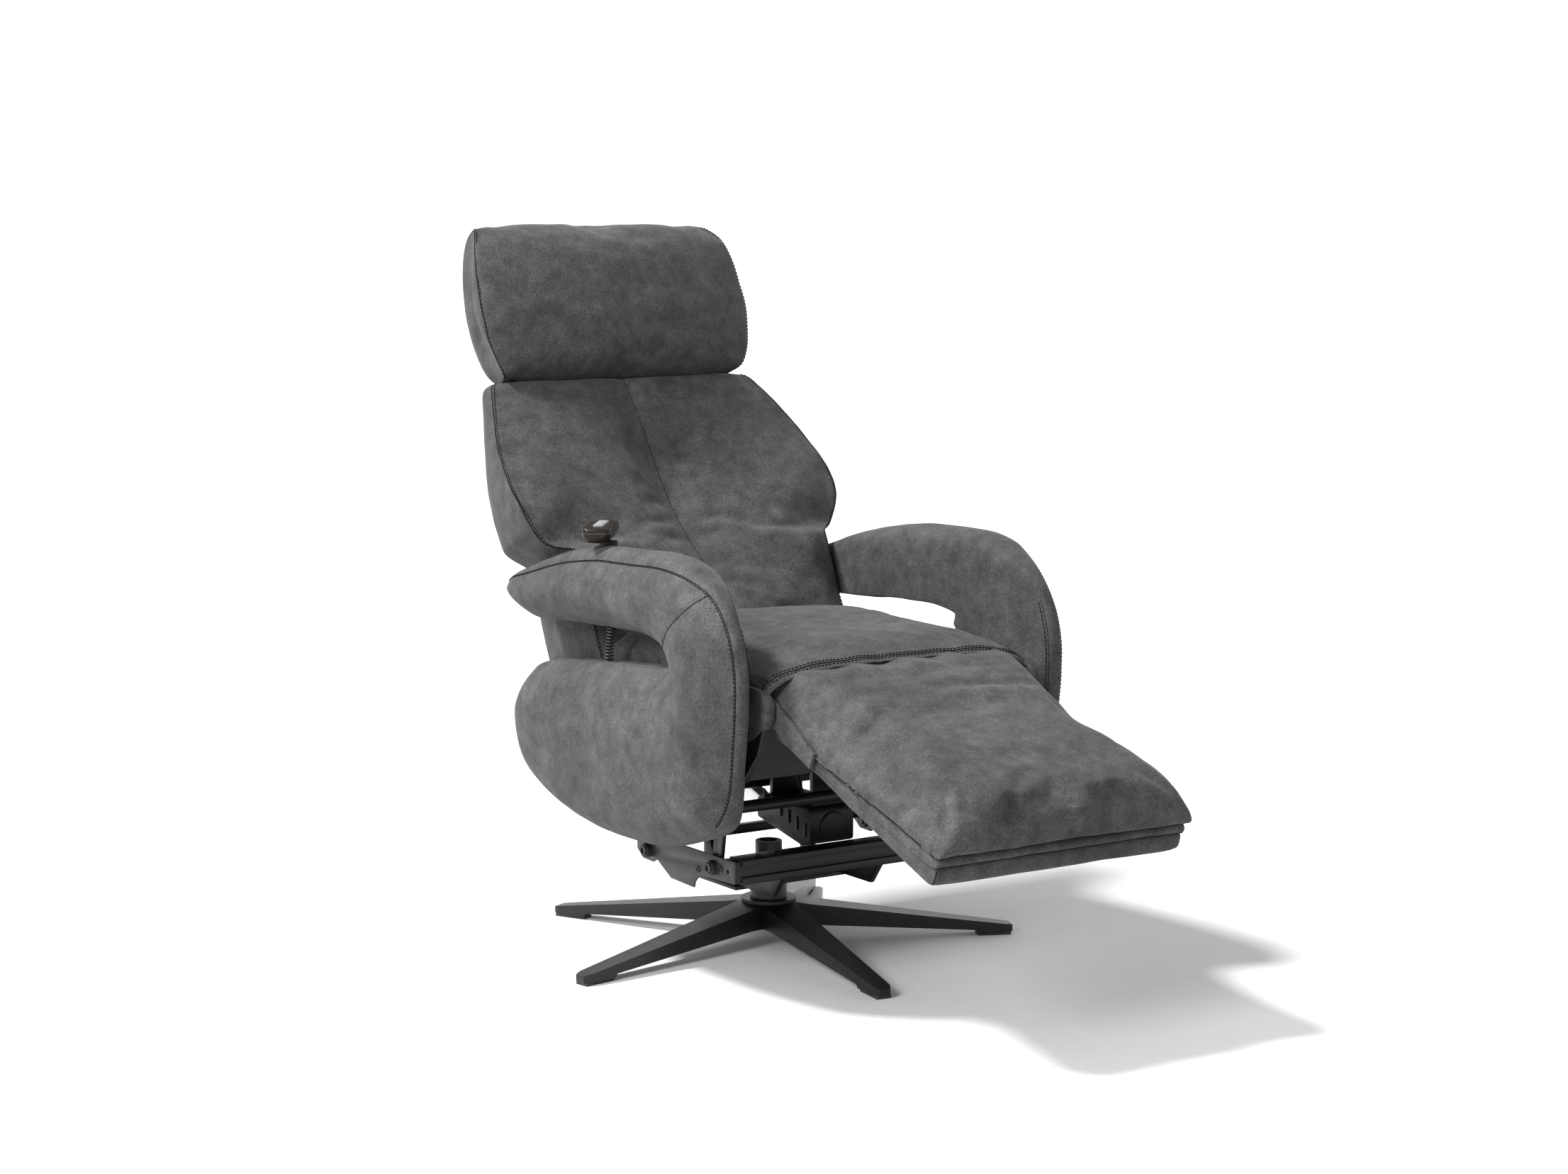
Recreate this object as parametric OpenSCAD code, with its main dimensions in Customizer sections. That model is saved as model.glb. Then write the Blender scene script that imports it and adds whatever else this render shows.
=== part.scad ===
// Powered recliner armchair on a swivelling five-star base.
// The origin is the swivel axis at floor level, the sitter faces -Y, +Z is up.

/* [Overall] */
// Height of the seat cushion's top above the floor
seat_h = 495; // [420:1:600]
// Clear width between the two armrests
seat_w = 470; // [400:1:580]
// Radius from the swivel axis to the tip of a base arm
base_r = 380; // [320:1:460]
// Length of the backrest from its hinge to the top of the headrest
back_len = 768; // [640:1:920]
// Length of the legrest from its hinge to its front edge
leg_len = 415; // [340:1:440]

/* [Base] */
// Angle of the first base arm, anticlockwise from +X
arm_a0 = 118.7; // [0:0.1:180]
// Width of a base arm at its tip
tip_w = 27; // [20:1:40]
// Width of a base arm at the hub
root_w = 54; // [44:1:70]
// Radius of the hub
hub_r = 42; // [36:1:50]
// Height of the hub's top
hub_top = 71; // [66:1:80]
// Thickness of a glide under each tip
glide_t = 4.5; // [3:0.5:8]
// Length of a glide
glide_l = 52; // [40:1:60]
// Outer radius of the column tube
column_r = 28.5; // [24:0.5:34]
// Radius of the spindle that turns in the column
spindle_r = 17; // [14:0.5:20]

/* [Mechanism] */
// Diameter of the link pivot bolts
link_pin_d = 12; // [8:0.5:14]
// Diameter of the backrest, legrest and yoke pins
hinge_pin_d = 16; // [12:0.5:20]
// Distance between the two pivots of a seat link
link_len = 122; // [110:1:150]
// Half width of a link bar
link_r = 12; // [10:0.5:16]
// Thickness of a link bar
link_t = 6; // [4:0.5:7]
// Thickness of a side plate
plate_t = 3; // [2:0.5:5]
// Length of the lever that tilts the backrest
back_lever = 124; // [100:1:150]
// Length of the lever that lifts the legrest
leg_lever = 95; // [80:1:115]
// Diameter of the yoke pins
yoke_pin_d = 12; // [8:0.5:14]
// Play of a yoke pin on each side of its slot
yoke_play = 1.3; // [1:0.1:2]
// Radial running clearance of a pin in its bore
run_gap = 0.05; // [0.02:0.01:0.1]

/* [Seat and arms] */
// Depth of the seat frame rails
rail_h = 72; // [50:1:90]
// Height of the seat frame's top below the seat cushion's top
cushion_t = 110; // [90:1:140]
// Width of an armrest's upholstered core
arm_w = 70; // [55:1:90]
// Bulge of an armrest's outer panel
arm_bulge = 18; // [8:1:30]
// Radius of the hollow in the seat that the backrest turns in
back_hollow_r = 134; // [130:1:150]
// Radius of the legrest cushion's rounded rear end
leg_round_r = 52; // [44:1:56]

/* [Backrest] */
// Angle the backrest leans back from upright
lean = 22; // [10:1:30]
// Length of the headrest cushion
head_h = 250; // [200:1:300]
// Half width of the headrest
head_hw = 222; // [180:1:260]
// Half width of the backrest at its wings
wing_hw = 286; // [240:1:330]
// Thickness of the backrest panel
panel_t = 16; // [10:1:20]
// Diameter of the headrest pin
head_pin_d = 10; // [8:0.5:14]

/* [Controls] */
// Width of the handset
hand_w = 53; // [45:1:60]
// Length of the handset
hand_l = 128; // [110:1:150]
// Travel of a handset button
button_travel = 1; // [0.6:0.1:1.4]
// Outer diameter of the coiled handset cord
coil_d = 14; // [10:0.5:18]

/* [Hidden] */
$fn = 64;
far = 900;

// Everything above the base rises with the seat
lift = seat_h - 495;
hw = seat_w/2;
frame_top = 495 - cushion_t;
frame_bot = frame_top - rail_h;
ring_top = 104;
plate_bot = ring_top + 0.1;

// Stations across the mechanism, as distances from the centre plane
rail_in = hw - 38;
plate_out = hw - 35;
plate_in = plate_out - plate_t;
link_out = plate_in - 2;
link_in = link_out - link_t;
pin_end = link_in - 2;
ear_in = hw - 12;
hinge_out = ear_in - 2;
hinge_in = hinge_out - 8;

// Pivots as [y, z]
front_low = [-158, 170];
rear_low = [24, 163];
link_v = link_len*[-20/122, sqrt(1 - pow(20/122, 2))];
front_high = front_low + link_v;
rear_high = rear_low + link_v;
back_piv = [175, frame_top + hinge_pin_d/2 + 5];
leg_piv = [-335, frame_top + 45];
leg_a = 23;
head_piv = [95, back_len - 263];
leg_board = [[54, -24], [leg_len, -24], [leg_len, 12], [54, 12]];

// Backrest actuator: rail direction and yoke pin at rest
rail_a = 17.7;
rest_a = 6.5;
yoke_s = back_lever*sin(rest_a);
foot = back_piv + back_lever*[sin(rail_a), -cos(rail_a)];
back_pin = foot + yoke_s*[cos(rail_a), sin(rail_a)]
    + back_lever*(1 - cos(rest_a))*[-sin(rail_a), cos(rail_a)];
lever_x = 34;
// Height of the rail's line where it leaves the motor, and the motor's place
rail_z0 = foot[1] - foot[0]*tan(rail_a);
motor_dz = rail_z0 - 212;

// Legrest actuator: yoke pin at rest, lever is 9 degrees past straight down
leg_rest_a = 9;
leg_pin = leg_piv + leg_lever*[-sin(leg_rest_a), -cos(leg_rest_a)];
leg_mid_z = leg_piv[1] - leg_lever + 8;
leg_x = 110;

// Front to back shape of an armrest: outline from the rear tip forward
arm_top = [[280, 552], [262, 574], [229, 588], [155, 605], [84, 617],
    [10, 626], [-66, 632], [-144, 634], [-195, 632], [-235, 625],
    [-278, 602], [-310, 579], [-330, 555], [-343, 530], [-352, 505],
    [-356, 473], [-357, 441], [-356, 408], [-350, 365], [-336, 323],
    [-318, 292], [-296, 268], [-255, 240], [-193, 219], [-74, 205],
    [35, 207], [128, 223], [193, 248], [229, 279], [247, 320], [251, 356],
    [245, 382], [219, 415], [174, 438], [87, 449], [-37, 460], [-176, 474],
    [-184, 485], [-166, 499], [-131, 509], [-78, 513], [30, 509],
    [101, 505], [187, 499], [231, 505], [262, 520], [277, 538]];
// The same ring set in for the domed outer panel
arm_dome = [[258, 552], [160, 590], [10, 612], [-130, 619], [-225, 612],
    [-285, 575], [-320, 520], [-332, 450], [-325, 375], [-295, 295],
    [-240, 255], [-190, 234], [-70, 221], [40, 223], [122, 238],
    [185, 262], [218, 292], [232, 330], [234, 358], [225, 378],
    [205, 402], [165, 423], [80, 434], [-40, 446], [-188, 460],
    [-204, 486], [-186, 506], [-135, 523], [-70, 528], [40, 524],
    [110, 520], [185, 515], [225, 519], [250, 532]];
// Seen from above, [x past the seat frame, y]: the front end narrows to a nose
arm_plan = [[0, 300], [arm_w + arm_bulge, 300], [arm_w + arm_bulge, -190],
    [arm_w + 7, -270], [arm_w - 8, -325], [arm_w - 19, -348],
    [arm_w - 27, -356], [arm_w - 36, -357], [arm_w - 44, -350], [14, -322],
    [0, -285]];

// Draws a [y, z] outline and gives it a thickness from x0 to x1
module slab(x0, x1) {
    translate([x0, 0, 0]) rotate([90, 0, 90])
        linear_extrude(x1 - x0) children();
}
module both() { children(); mirror([1, 0, 0]) children(); }
module rod(x0, x1, p, r) {
    translate([x0, p[0], p[1]]) rotate([0, 90, 0]) cylinder(h = x1 - x0, r = r);
}
module box(x, y, z) {
    translate([x[0], y[0], z[0]]) cube([x[1] - x[0], y[1] - y[0], z[1] - z[0]]);
}
module raised() { translate([0, 0, lift]) children(); }
// Backrest coordinates: y is depth, z runs up the back from the hinge
module on_back() {
    raised() translate([0, back_piv[0], back_piv[1]]) rotate([-lean, 0, 0])
        children();
}
// Legrest coordinates: y runs out along the legrest, z is its thickness
module on_leg() {
    raised() translate([0, leg_piv[0], leg_piv[1]]) rotate([0, 0, 180])
        rotate([-leg_a, 0, 0]) children();
}
module on_rail() {
    raised() translate([0, foot[0], foot[1]]) rotate([rail_a, 0, 0]) children();
}

// ---------------------------------------------------------------- base
module base_arm() {
    intersection() {
        translate([0, 0, 0]) rotate([90, 0, 0]) linear_extrude(120, center = true)
            polygon([[0, 30], [hub_r + 20, 30], [base_r - 60, 10],
                [base_r - 56, glide_t], [base_r - 1, glide_t],
                [base_r, glide_t + 2], [base_r, 15], [base_r - 4, 16.5],
                [base_r - 80, 27], [base_r - 200, 44], [hub_r + 20, 62],
                [hub_r, 66], [0, 66]]);
        linear_extrude(80) polygon([[0, -root_w/2], [hub_r, -root_w/2],
            [base_r - 12, -tip_w/2], [base_r, -tip_w/2 + 5],
            [base_r, tip_w/2 - 5], [base_r - 12, tip_w/2],
            [hub_r, root_w/2], [0, root_w/2]]);
    }
}
module star_base() {
    color([0.05, 0.05, 0.05]) difference() {
        union() {
            for (k = [0:4]) rotate([0, 0, arm_a0 + 72*k]) base_arm();
            translate([0, 0, 28]) cylinder(h = hub_top - 28, r = hub_r);
        }
        translate([0, 0, -1]) cylinder(h = 120, r = column_r);
    }
}
module glide(k) {
    color([0.04, 0.04, 0.04]) rotate([0, 0, arm_a0 + 72*k])
        translate([base_r - 3 - glide_l, -tip_w/2 + 2, 0])
            cube([glide_l, tip_w - 4, glide_t]);
}
module glide_1() { glide(0); }
module glide_2() { glide(1); }
module glide_3() { glide(2); }
module glide_4() { glide(3); }
module glide_5() { glide(4); }
module column_tube() {
    color([0.06, 0.06, 0.06]) difference() {
        translate([0, 0, 28]) cylinder(h = 98 + lift - 28, r = column_r);
        translate([0, 0, 20]) cylinder(h = 120 + lift, r = spindle_r);
    }
}
module swivel_ring() {
    color([0.10, 0.10, 0.10]) raised() difference() {
        translate([0, 0, 98]) cylinder(h = ring_top - 98, r = column_r + 3);
        translate([0, 0, 90]) cylinder(h = 20, r = spindle_r + 0.5);
    }
}

// ------------------------------------------------------------ carriage
module swivel_spindle() {
    color([0.12, 0.12, 0.12]) raised() difference() {
        union() {
            translate([0, 0, 40 - lift]) cylinder(h = plate_bot + lift - 40,
                r = spindle_r - run_gap);
            translate([0, 0, plate_bot]) cylinder(h = 159 - plate_bot,
                r = spindle_r + 3.5);
        }
        translate([0, 0, 112]) cylinder(h = 60, r = spindle_r - 3);
    }
}
module swivel_plate() {
    color([0.07, 0.07, 0.07]) raised() difference() {
        box([-100, 100], [-62, 62], [plate_bot, 110]);
        translate([0, 0, 90]) cylinder(h = 40, r = spindle_r + 3.5);
    }
}
module side_plate(s) {
    color([0.16, 0.16, 0.16]) raised() difference() {
        slab(s > 0 ? plate_in : -plate_out, s > 0 ? plate_out : -plate_in)
            polygon([[-216, 188], [20, 188], [40, 184], [56, 176], [56, 160],
                [38, 148], [10, 147], [-1, 153], [-41, 132], [-105, 130],
                [-107, 138], [-118, 150], [-144, 153], [-216, 155]]);
        for (p = [front_low, rear_low])
            rod(s > 0 ? 0 : -far, s > 0 ? far : 0, p, link_pin_d/2);
        rod(s > 0 ? 0 : -far, s > 0 ? far : 0, [-198, 171], 3);
    }
}
module side_plate_left() { side_plate(1); }
module side_plate_right() { side_plate(-1); }
module front_cross_tube() {
    color([0.06, 0.06, 0.06]) raised() difference() {
        box([-plate_in, plate_in], [-216, -186], [155, 188]);
        box([-far, far], [-213, -189], [158, 185]);
    }
}
module rear_cross_bar() {
    color([0.06, 0.06, 0.06]) raised()
        box([-plate_in, plate_in], [40, 54], [164, 178]);
}
module beam(s) {
    color([0.06, 0.06, 0.06]) raised()
        slab(s > 0 ? 84 : -92, s > 0 ? 92 : -84)
            polygon([[-186, 188], [-186, 158], [-150, 110], [40, 110],
                [40, 178], [28, 178], [10, 140], [-120, 140]]);
}
module beam_left() { beam(1); }
module beam_right() { beam(-1); }
module pivot_bolt(s, p) {
    color([0.35, 0.35, 0.36]) raised() {
        rod(s > 0 ? pin_end : -plate_out - 1, s > 0 ? plate_out + 1 : -pin_end,
            p, link_pin_d/2);
        rod(s > 0 ? plate_out : -plate_out - 7, s > 0 ? plate_out + 7 : -plate_out,
            p, link_pin_d/2 + 5);
    }
}
module rear_bolt_left() { pivot_bolt(1, rear_low); }
module rear_bolt_right() { pivot_bolt(-1, rear_low); }
module front_bolt_left() { pivot_bolt(1, front_low); }
module front_bolt_right() { pivot_bolt(-1, front_low); }

// --------------------------------------------------------------- links
module seat_link(s, p) {
    a = atan2(link_v[0], link_v[1]);
    color([0.10, 0.10, 0.10]) raised() difference() {
        slab(s > 0 ? link_in : -link_out, s > 0 ? link_out : -link_in)
            translate(p) rotate([0, 0, -a]) union() {
                circle(r = link_r);
                translate([0, link_len]) circle(r = link_r);
                translate([-link_r, 0]) square([2*link_r, link_len]);
            }
        for (q = [p, p + link_v])
            rod(s > 0 ? 0 : -far, s > 0 ? far : 0, q, link_pin_d/2 + run_gap);
    }
}
module link_tube(p) {
    color([0.08, 0.08, 0.08]) raised()
        rod(-link_in, link_in, p + 0.72*link_v, 9);
}
module front_link_left() { seat_link(1, front_low); }
module front_link_right() { seat_link(-1, front_low); }
module front_link_tube() { link_tube(front_low); }
module rear_link_left() { seat_link(1, rear_low); }
module rear_link_right() { seat_link(-1, rear_low); }
module rear_link_tube() { link_tube(rear_low); }

// ---------------------------------------------------------------- seat
module frame_side() {
    // rail
    box([rail_in, hw], [-255, 200], [frame_bot, frame_top]);
    // hangers with a stud for each link
    for (p = [front_high, rear_high]) {
        slab(plate_in, plate_in + 6) difference() {
            polygon([[p[0] - 22, frame_bot + 1], [p[0] - 14, p[1] - 16],
                [p[0] + 14, p[1] - 16], [p[0] + 22, frame_bot + 1]]);
        }
        rod(pin_end, plate_in + 1, p, link_pin_d/2);
    }
    // rear ear and stud for the backrest
    slab(ear_in, hw) {
        translate(back_piv) circle(r = 20);
        translate([back_piv[0] - 20, frame_top - 5]) square([40, 15]);
    }
    rod(hinge_in + 0.5, ear_in + 1, back_piv, hinge_pin_d/2);
    // front ear and stud for the legrest
    slab(ear_in, hw) {
        translate(leg_piv) circle(r = 18);
        polygon([[-250, frame_bot], [-250, frame_top], [-290, frame_top],
            [leg_piv[0] + 6, leg_piv[1] + 16], [leg_piv[0] - 16, leg_piv[1] - 6],
            [-330, frame_top - 20], [-290, frame_bot + 6]]);
    }
    rod(hinge_in + 0.5, ear_in + 1, leg_piv, hinge_pin_d/2);
}
module seat_frame() {
    color([0.05, 0.05, 0.05]) raised() difference() {
        union() {
            both() frame_side();
            // front panel
            box([-rail_in - 1, rail_in + 1], [-255, -249], [frame_bot, frame_top]);
            // rear cross member
            box([-rail_in - 1, rail_in + 1], [100, 130], [frame_bot, frame_bot + 32]);
            // flats that carry the legrest motor
            for (y = [-236, -140])
                box([-rail_in - 1, rail_in + 1], [y, y + 20],
                    [frame_bot, frame_bot + 7]);
            // centre channel with hangers for the backrest motor
            box([-18, 48], [-250, 101], [frame_bot, frame_bot + 7]);
            for (y = [-138, -30])
                box([-12, 42], [y, y + 8], [235 + motor_dz, frame_bot + 1]);
        }
        // window for the legrest rod
        box([leg_x - 14, leg_x + 14], [-260, -240],
            [leg_mid_z - 14, leg_mid_z + 14]);
    }
}
module spring_mat() {
    color([0.08, 0.08, 0.08]) raised()
        box([-rail_in, rail_in], [-249, 60], [frame_top - 4, frame_top]);
}
module seat_cushion() {
    color([0.24, 0.24, 0.25]) raised() difference() {
        slab(-hw + 16, hw - 16) polygon([[-335, frame_top], [-335, 486],
            [-326, 493], [-310, 495], [100, 495], [100, frame_top]]);
        rod(-far, far, back_piv, back_hollow_r);
        rod(-far, far, leg_piv, leg_round_r + 1.5);
    }
}
module armrest(s) {
    color([0.25, 0.25, 0.26]) raised() intersection() {
        union() {
            slab(s > 0 ? hw : -hw - arm_w, s > 0 ? hw + arm_w : -hw)
                polygon(arm_top);
            slab(s > 0 ? hw + arm_w - 1 : -hw - arm_w - arm_bulge,
                s > 0 ? hw + arm_w + arm_bulge : -hw - arm_w + 1)
                polygon(arm_dome);
        }
        linear_extrude(far) polygon([for (p = arm_plan) [s*(hw + p[0]), p[1]]]);
    }
}
module armrest_left() { armrest(1); }
module armrest_right() {
    difference() {
        armrest(-1);
        // hole in the arm top for the handset's stem
        raised() translate([stem_x, stem_y, 606]) cylinder(h = 60, r = 9);
    }
}
module control_box() {
    color([0.04, 0.04, 0.04]) raised() difference() {
        box([-160, -60], [40, 100], [frame_bot, frame_bot + 32]);
        // mains inlet, open to the rear of the chair on the left side
        box([-161, -148], [60, 80], [frame_bot + 8, frame_bot + 24]);
    }
}
module back_motor() {
    color([0.04, 0.04, 0.04]) raised() translate([0, 0, motor_dz]) slab(-22, 58)
        polygon([[-146, 180], [-120, 174], [0, 198], [0, 228], [-12, 235],
            [-140, 235], [-146, 228]]);
}
module back_rail() {
    color([0.62, 0.63, 0.64]) difference() {
        on_rail() difference() {
            translate([-5, -foot[0]/cos(rail_a) - 12, -8])
                cube([20, foot[0]/cos(rail_a) + yoke_s + 54, 16]);
            translate([2, -400, 5]) cube([6, 800, 10]);
        }
        raised() box([-30, 70], [-100, 0], [rail_z0 - 62, rail_z0 + 28]);
    }
}
module leg_motor() {
    color([0.04, 0.04, 0.04]) raised() difference() {
        box([leg_x - 25, leg_x + 25], [-249, -105],
            [frame_bot + 7, leg_mid_z + 22]);
        translate([leg_x, -112, leg_mid_z]) rotate([90, 0, 0])
            cylinder(h = 200, r = hinge_pin_d/2 + run_gap);
    }
}
module back_slider() {
    color([0.05, 0.05, 0.05]) on_rail() translate([0, yoke_s, 0]) difference() {
        union() {
            translate([-12, -22, -16]) cube([34, 44, 32]);
            translate([21, -16, -18]) cube([11, 32, 44]);
        }
        translate([-5 - run_gap, -far, -8 - run_gap])
            cube([20 + 2*run_gap, 2*far, 16 + 2*run_gap]);
        // slot across the rail for the lever's pin
        translate([22, -yoke_pin_d/2 - yoke_play, -10])
            cube([20, yoke_pin_d + 2*yoke_play, 29]);
    }
}
module leg_rod() {
    p = leg_pin[0] + 0.58;
    color([0.55, 0.55, 0.56]) raised() difference() {
        union() {
            translate([leg_x, p + 160, leg_mid_z]) rotate([90, 0, 0])
                cylinder(h = 146, r = hinge_pin_d/2);
            box([leg_x - 7, leg_x + 7], [p - 15, p + 15],
                [leg_mid_z - 21, leg_mid_z + 23]);
        }
        box([leg_x - 8, leg_x + 8],
            [p - yoke_pin_d/2 - yoke_play, p + yoke_pin_d/2 + yoke_play],
            [leg_mid_z - 8 - yoke_pin_d/2 - 2, leg_mid_z + 9 + yoke_pin_d/2 + 2]);
    }
}

// ------------------------------------------------------------- handset
stem_x = -hw - 35;
stem_y = 16;
hand_a = -38;
hand_z = 634;
// Handset coordinates: y runs from its near end to its far end
module on_hand() {
    raised() translate([stem_x, stem_y + 20, hand_z]) rotate([0, 0, hand_a])
        children();
}
module hand_outline(inset) {
    hull() for (p = [[-hand_w/2 + 12, -hand_l/2 + 12], [hand_w/2 - 12, -hand_l/2 + 12],
        [-hand_w/2 + 16, hand_l/2 - 14], [hand_w/2 - 16, hand_l/2 - 14]])
        translate(p) circle(r = 12 - inset, $fn = 32);
}
module handset_stem() {
    color([0.03, 0.03, 0.03]) raised() {
        translate([stem_x, stem_y, 606]) cylinder(h = hand_z - 606, r = 9);
        translate([stem_x, stem_y, 627]) cylinder(h = hand_z - 627, r = 14);
    }
}
module handset_shell() {
    color([0.04, 0.035, 0.03]) on_hand() linear_extrude(15) hand_outline(0);
}
module handset_face() {
    color([0.10, 0.08, 0.07]) on_hand() difference() {
        translate([0, 0, 15]) linear_extrude(8) hand_outline(1.5);
        for (k = [0:4]) translate([0, button_y(k), 18])
            linear_extrude(20) oval(0.3);
    }
}
function button_y(k) = -28 + 14*k;
module oval(grow) {
    for (s = [-1, 1]) translate([4*s, 0]) circle(r = 4 + grow, $fn = 32);
    translate([-4, -4 - grow]) square([8, 8 + 2*grow]);
}
module button(k) {
    color([0.75, 0.75, 0.76]) on_hand() translate([0, button_y(k), 18 + button_travel])
        linear_extrude(6) oval(0);
}
module button_1() { button(0); }
module button_2() { button(1); }
module button_3() { button(2); }
module button_4() { button(3); }
module button_5() { button(4); }
coil_route = [[0, 0, 514], [0, 4, 500], [0, 8, 488], [0, 10, 476],
    [0, 12, 464], [0, 13, 451]];
module coil_cord() {
    n = 10;
    m = len(coil_route);
    color([0.03, 0.03, 0.03]) raised() translate([stem_x, 4, 0]) polyhedron(
        points = [for (p = coil_route) for (i = [0:n - 1])
            p + coil_d/2*[cos(36*i), sin(36*i), 0]],
        faces = concat([[for (i = [n - 1:-1:0]) n - 1 - i]],
            [for (j = [0:m - 2]) for (i = [0:n - 1])
                [j*n + i, (j + 1)*n + i, (j + 1)*n + (i + 1)%n, j*n + (i + 1)%n]],
            [[for (i = [0:n - 1]) m*n - 1 - i]]));
}

// ------------------------------------------------------------ backrest
module back_frame() {
    color([0.10, 0.09, 0.08]) on_back() difference() {
        union() {
            // axle tube along the hinge line
            rod(-hinge_out, hinge_out, [0, 0], hinge_pin_d/2 + 4);
            // flanges from the axle to the panel
            both() slab(190, 195) polygon([[-10, -10], [10, -14], [60, 20],
                [85 + panel_t, 60], [85 + panel_t, 170], [85, 170], [70, 100],
                [0, 14], [-10, 8]]);
            // panel
            box([-191, 191], [85, 85 + panel_t], [60, head_piv[1] - 15]);
            // lugs and barrel of the headrest hinge
            box([-60, 60], [86, 84 + panel_t], [head_piv[1] - 16, head_piv[1]]);
            rod(-60, 60, head_piv, head_pin_d/2 + 5);
        }
        rod(-far, -hinge_in, [0, 0], hinge_pin_d/2 + run_gap);
        rod(hinge_in, far, [0, 0], hinge_pin_d/2 + run_gap);
        rod(-far, far, head_piv, head_pin_d/2 + run_gap);
    }
}
module back_lever_arm() {
    color([0.08, 0.08, 0.08]) raised() {
        difference() {
            slab(lever_x, lever_x + 6) {
                translate(back_piv) circle(r = hinge_pin_d/2 + 14);
                translate(back_pin) circle(r = yoke_pin_d/2 + 6);
                polygon([back_piv + [-18, -6], back_pin + [-12, 2],
                    back_pin + [12, -2], back_piv + [20, 6]]);
            }
            rod(-far, far, back_piv, hinge_pin_d/2 + 4);
        }
        rod(lever_x - 11, lever_x + 1, back_pin, yoke_pin_d/2);
    }
}
module back_cushion() {
    top = head_piv[1] - 15;
    color([0.23, 0.23, 0.24]) on_back() difference() {
        intersection() {
            slab(-far, far) polygon([[-100, 0], [-109, 60], [-68, 152], [-20, 250],
                [14, 316], [45, 410], [62, top], [112, top], [118, 430],
                [112, 336], [106, 213], [104, 100], [85, 40], [70, 0]]);
            rotate([90, 0, 0]) linear_extrude(2*far, center = true)
                polygon([[-190, 0], [190, 0], [190, 224], [wing_hw - 12, 230],
                    [wing_hw, 270], [wing_hw - 8, 330], [wing_hw - 36, 430],
                    [head_hw, top], [-head_hw, top], [-wing_hw + 36, 430],
                    [-wing_hw + 8, 330], [-wing_hw, 270], [-wing_hw + 12, 230],
                    [-190, 224]]);
        }
        box([-191, 191], [85, 85 + panel_t], [60, far]);
        rod(-far, far, [0, 0], hinge_pin_d/2 + 4);
        // room for the lever's ring
        rod(lever_x, lever_x + 6, [0, 0], hinge_pin_d/2 + 20);
    }
}

// ------------------------------------------------------------ headrest
module headrest_bracket() {
    color([0.30, 0.30, 0.31]) on_back() {
        rod(-70, 70, head_piv, head_pin_d/2);
        both() slab(61, 69) {
            translate(head_piv) circle(r = head_pin_d/2 + 4);
            translate([head_piv[0] - 3, head_piv[1]]) square([6, 40]);
        }
        box([-69, 69], [92, 98], [head_piv[1] + 14, head_piv[1] + 190]);
    }
}
module headrest_cushion() {
    b = head_piv[1] + 13;
    t = b + head_h;
    color([0.23, 0.23, 0.24]) on_back() difference() {
        intersection() {
            slab(-far, far) polygon([[66, b], [60, b + 90], [62, b + 180],
                [74, t - 12], [84, t], [128, t], [140, t - 14], [146, t - 120],
                [138, b + 10], [128, b]]);
            rotate([90, 0, 0]) linear_extrude(2*far, center = true)
                polygon([[-head_hw + 14, b], [head_hw - 14, b],
                    [head_hw, b + 16], [head_hw + 4, b + 90], [head_hw, t - 16],
                    [head_hw - 14, t], [-head_hw + 14, t], [-head_hw, t - 16],
                    [-head_hw - 4, b + 90], [-head_hw, b + 16]]);
        }
        box([-69, 69], [92, 98], [0, head_piv[1] + 190]);
    }
}

// ------------------------------------------------------------- legrest
module legrest_board() {
    color([0.22, 0.22, 0.23]) on_leg() difference() {
        union() {
            slab(-hinge_in, hinge_in) polygon(leg_board);
            both() slab(hinge_in, hinge_out) {
                circle(r = 16);
                polygon([[0, -16], [54, -24], [120, -24], [120, 0], [54, 10],
                    [0, 16]]);
            }
            both() slab(hinge_in - 1, hinge_out)
                polygon([[60, -24], [120, -24], [120, 0], [60, 0]]);
        }
        rod(-far, far, [0, 0], hinge_pin_d/2 + run_gap);
    }
}
module legrest_lever_arm() {
    color([0.08, 0.08, 0.08]) raised() {
        intersection() {
            slab(leg_x + 9, leg_x + 15) {
                translate(leg_pin) circle(r = yoke_pin_d/2 + 6);
                polygon([leg_pin + [-8, -9], leg_pin + [12, -2],
                    leg_piv + [-30, -10], leg_piv + [-120, -50]]);
            }
            translate([0, leg_piv[0], leg_piv[1]]) rotate([0, 0, 180])
                rotate([-leg_a, 0, 0]) box([-far, far], [-far, far], [-far, -24]);
        }
        rod(leg_x - 9, leg_x + 10, leg_pin, yoke_pin_d/2);
    }
}
module legrest_cushion() {
    color([0.24, 0.24, 0.25]) on_leg() slab(-hinge_in, hinge_in) {
        intersection() {
            circle(r = leg_round_r);
            translate([-far, -24]) square([far + 54, far]);
        }
        polygon([[0, 12], [leg_len - 12, 12], [leg_len - 12, 52],
            [leg_len - 26, 62], [leg_len - 60, 66], [200, 62], [20, 52], [0, 50]]);
    }
}

star_base();
column_tube();
glide_1();
glide_2();
glide_3();
glide_4();
glide_5();
swivel_ring();
swivel_spindle();
swivel_plate();
side_plate_left();
side_plate_right();
front_cross_tube();
rear_cross_bar();
beam_left();
beam_right();
rear_bolt_left();
rear_bolt_right();
front_bolt_left();
front_bolt_right();
front_link_left();
front_link_right();
front_link_tube();
rear_link_left();
rear_link_right();
rear_link_tube();
seat_frame();
spring_mat();
seat_cushion();
armrest_left();
armrest_right();
control_box();
back_motor();
back_rail();
leg_motor();
back_slider();
leg_rod();
handset_stem();
handset_shell();
handset_face();
coil_cord();
back_frame();
back_lever_arm();
back_cushion();
headrest_bracket();
headrest_cushion();
legrest_board();
legrest_lever_arm();
legrest_cushion();
button_1();
button_2();
button_3();
button_4();
button_5();
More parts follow.
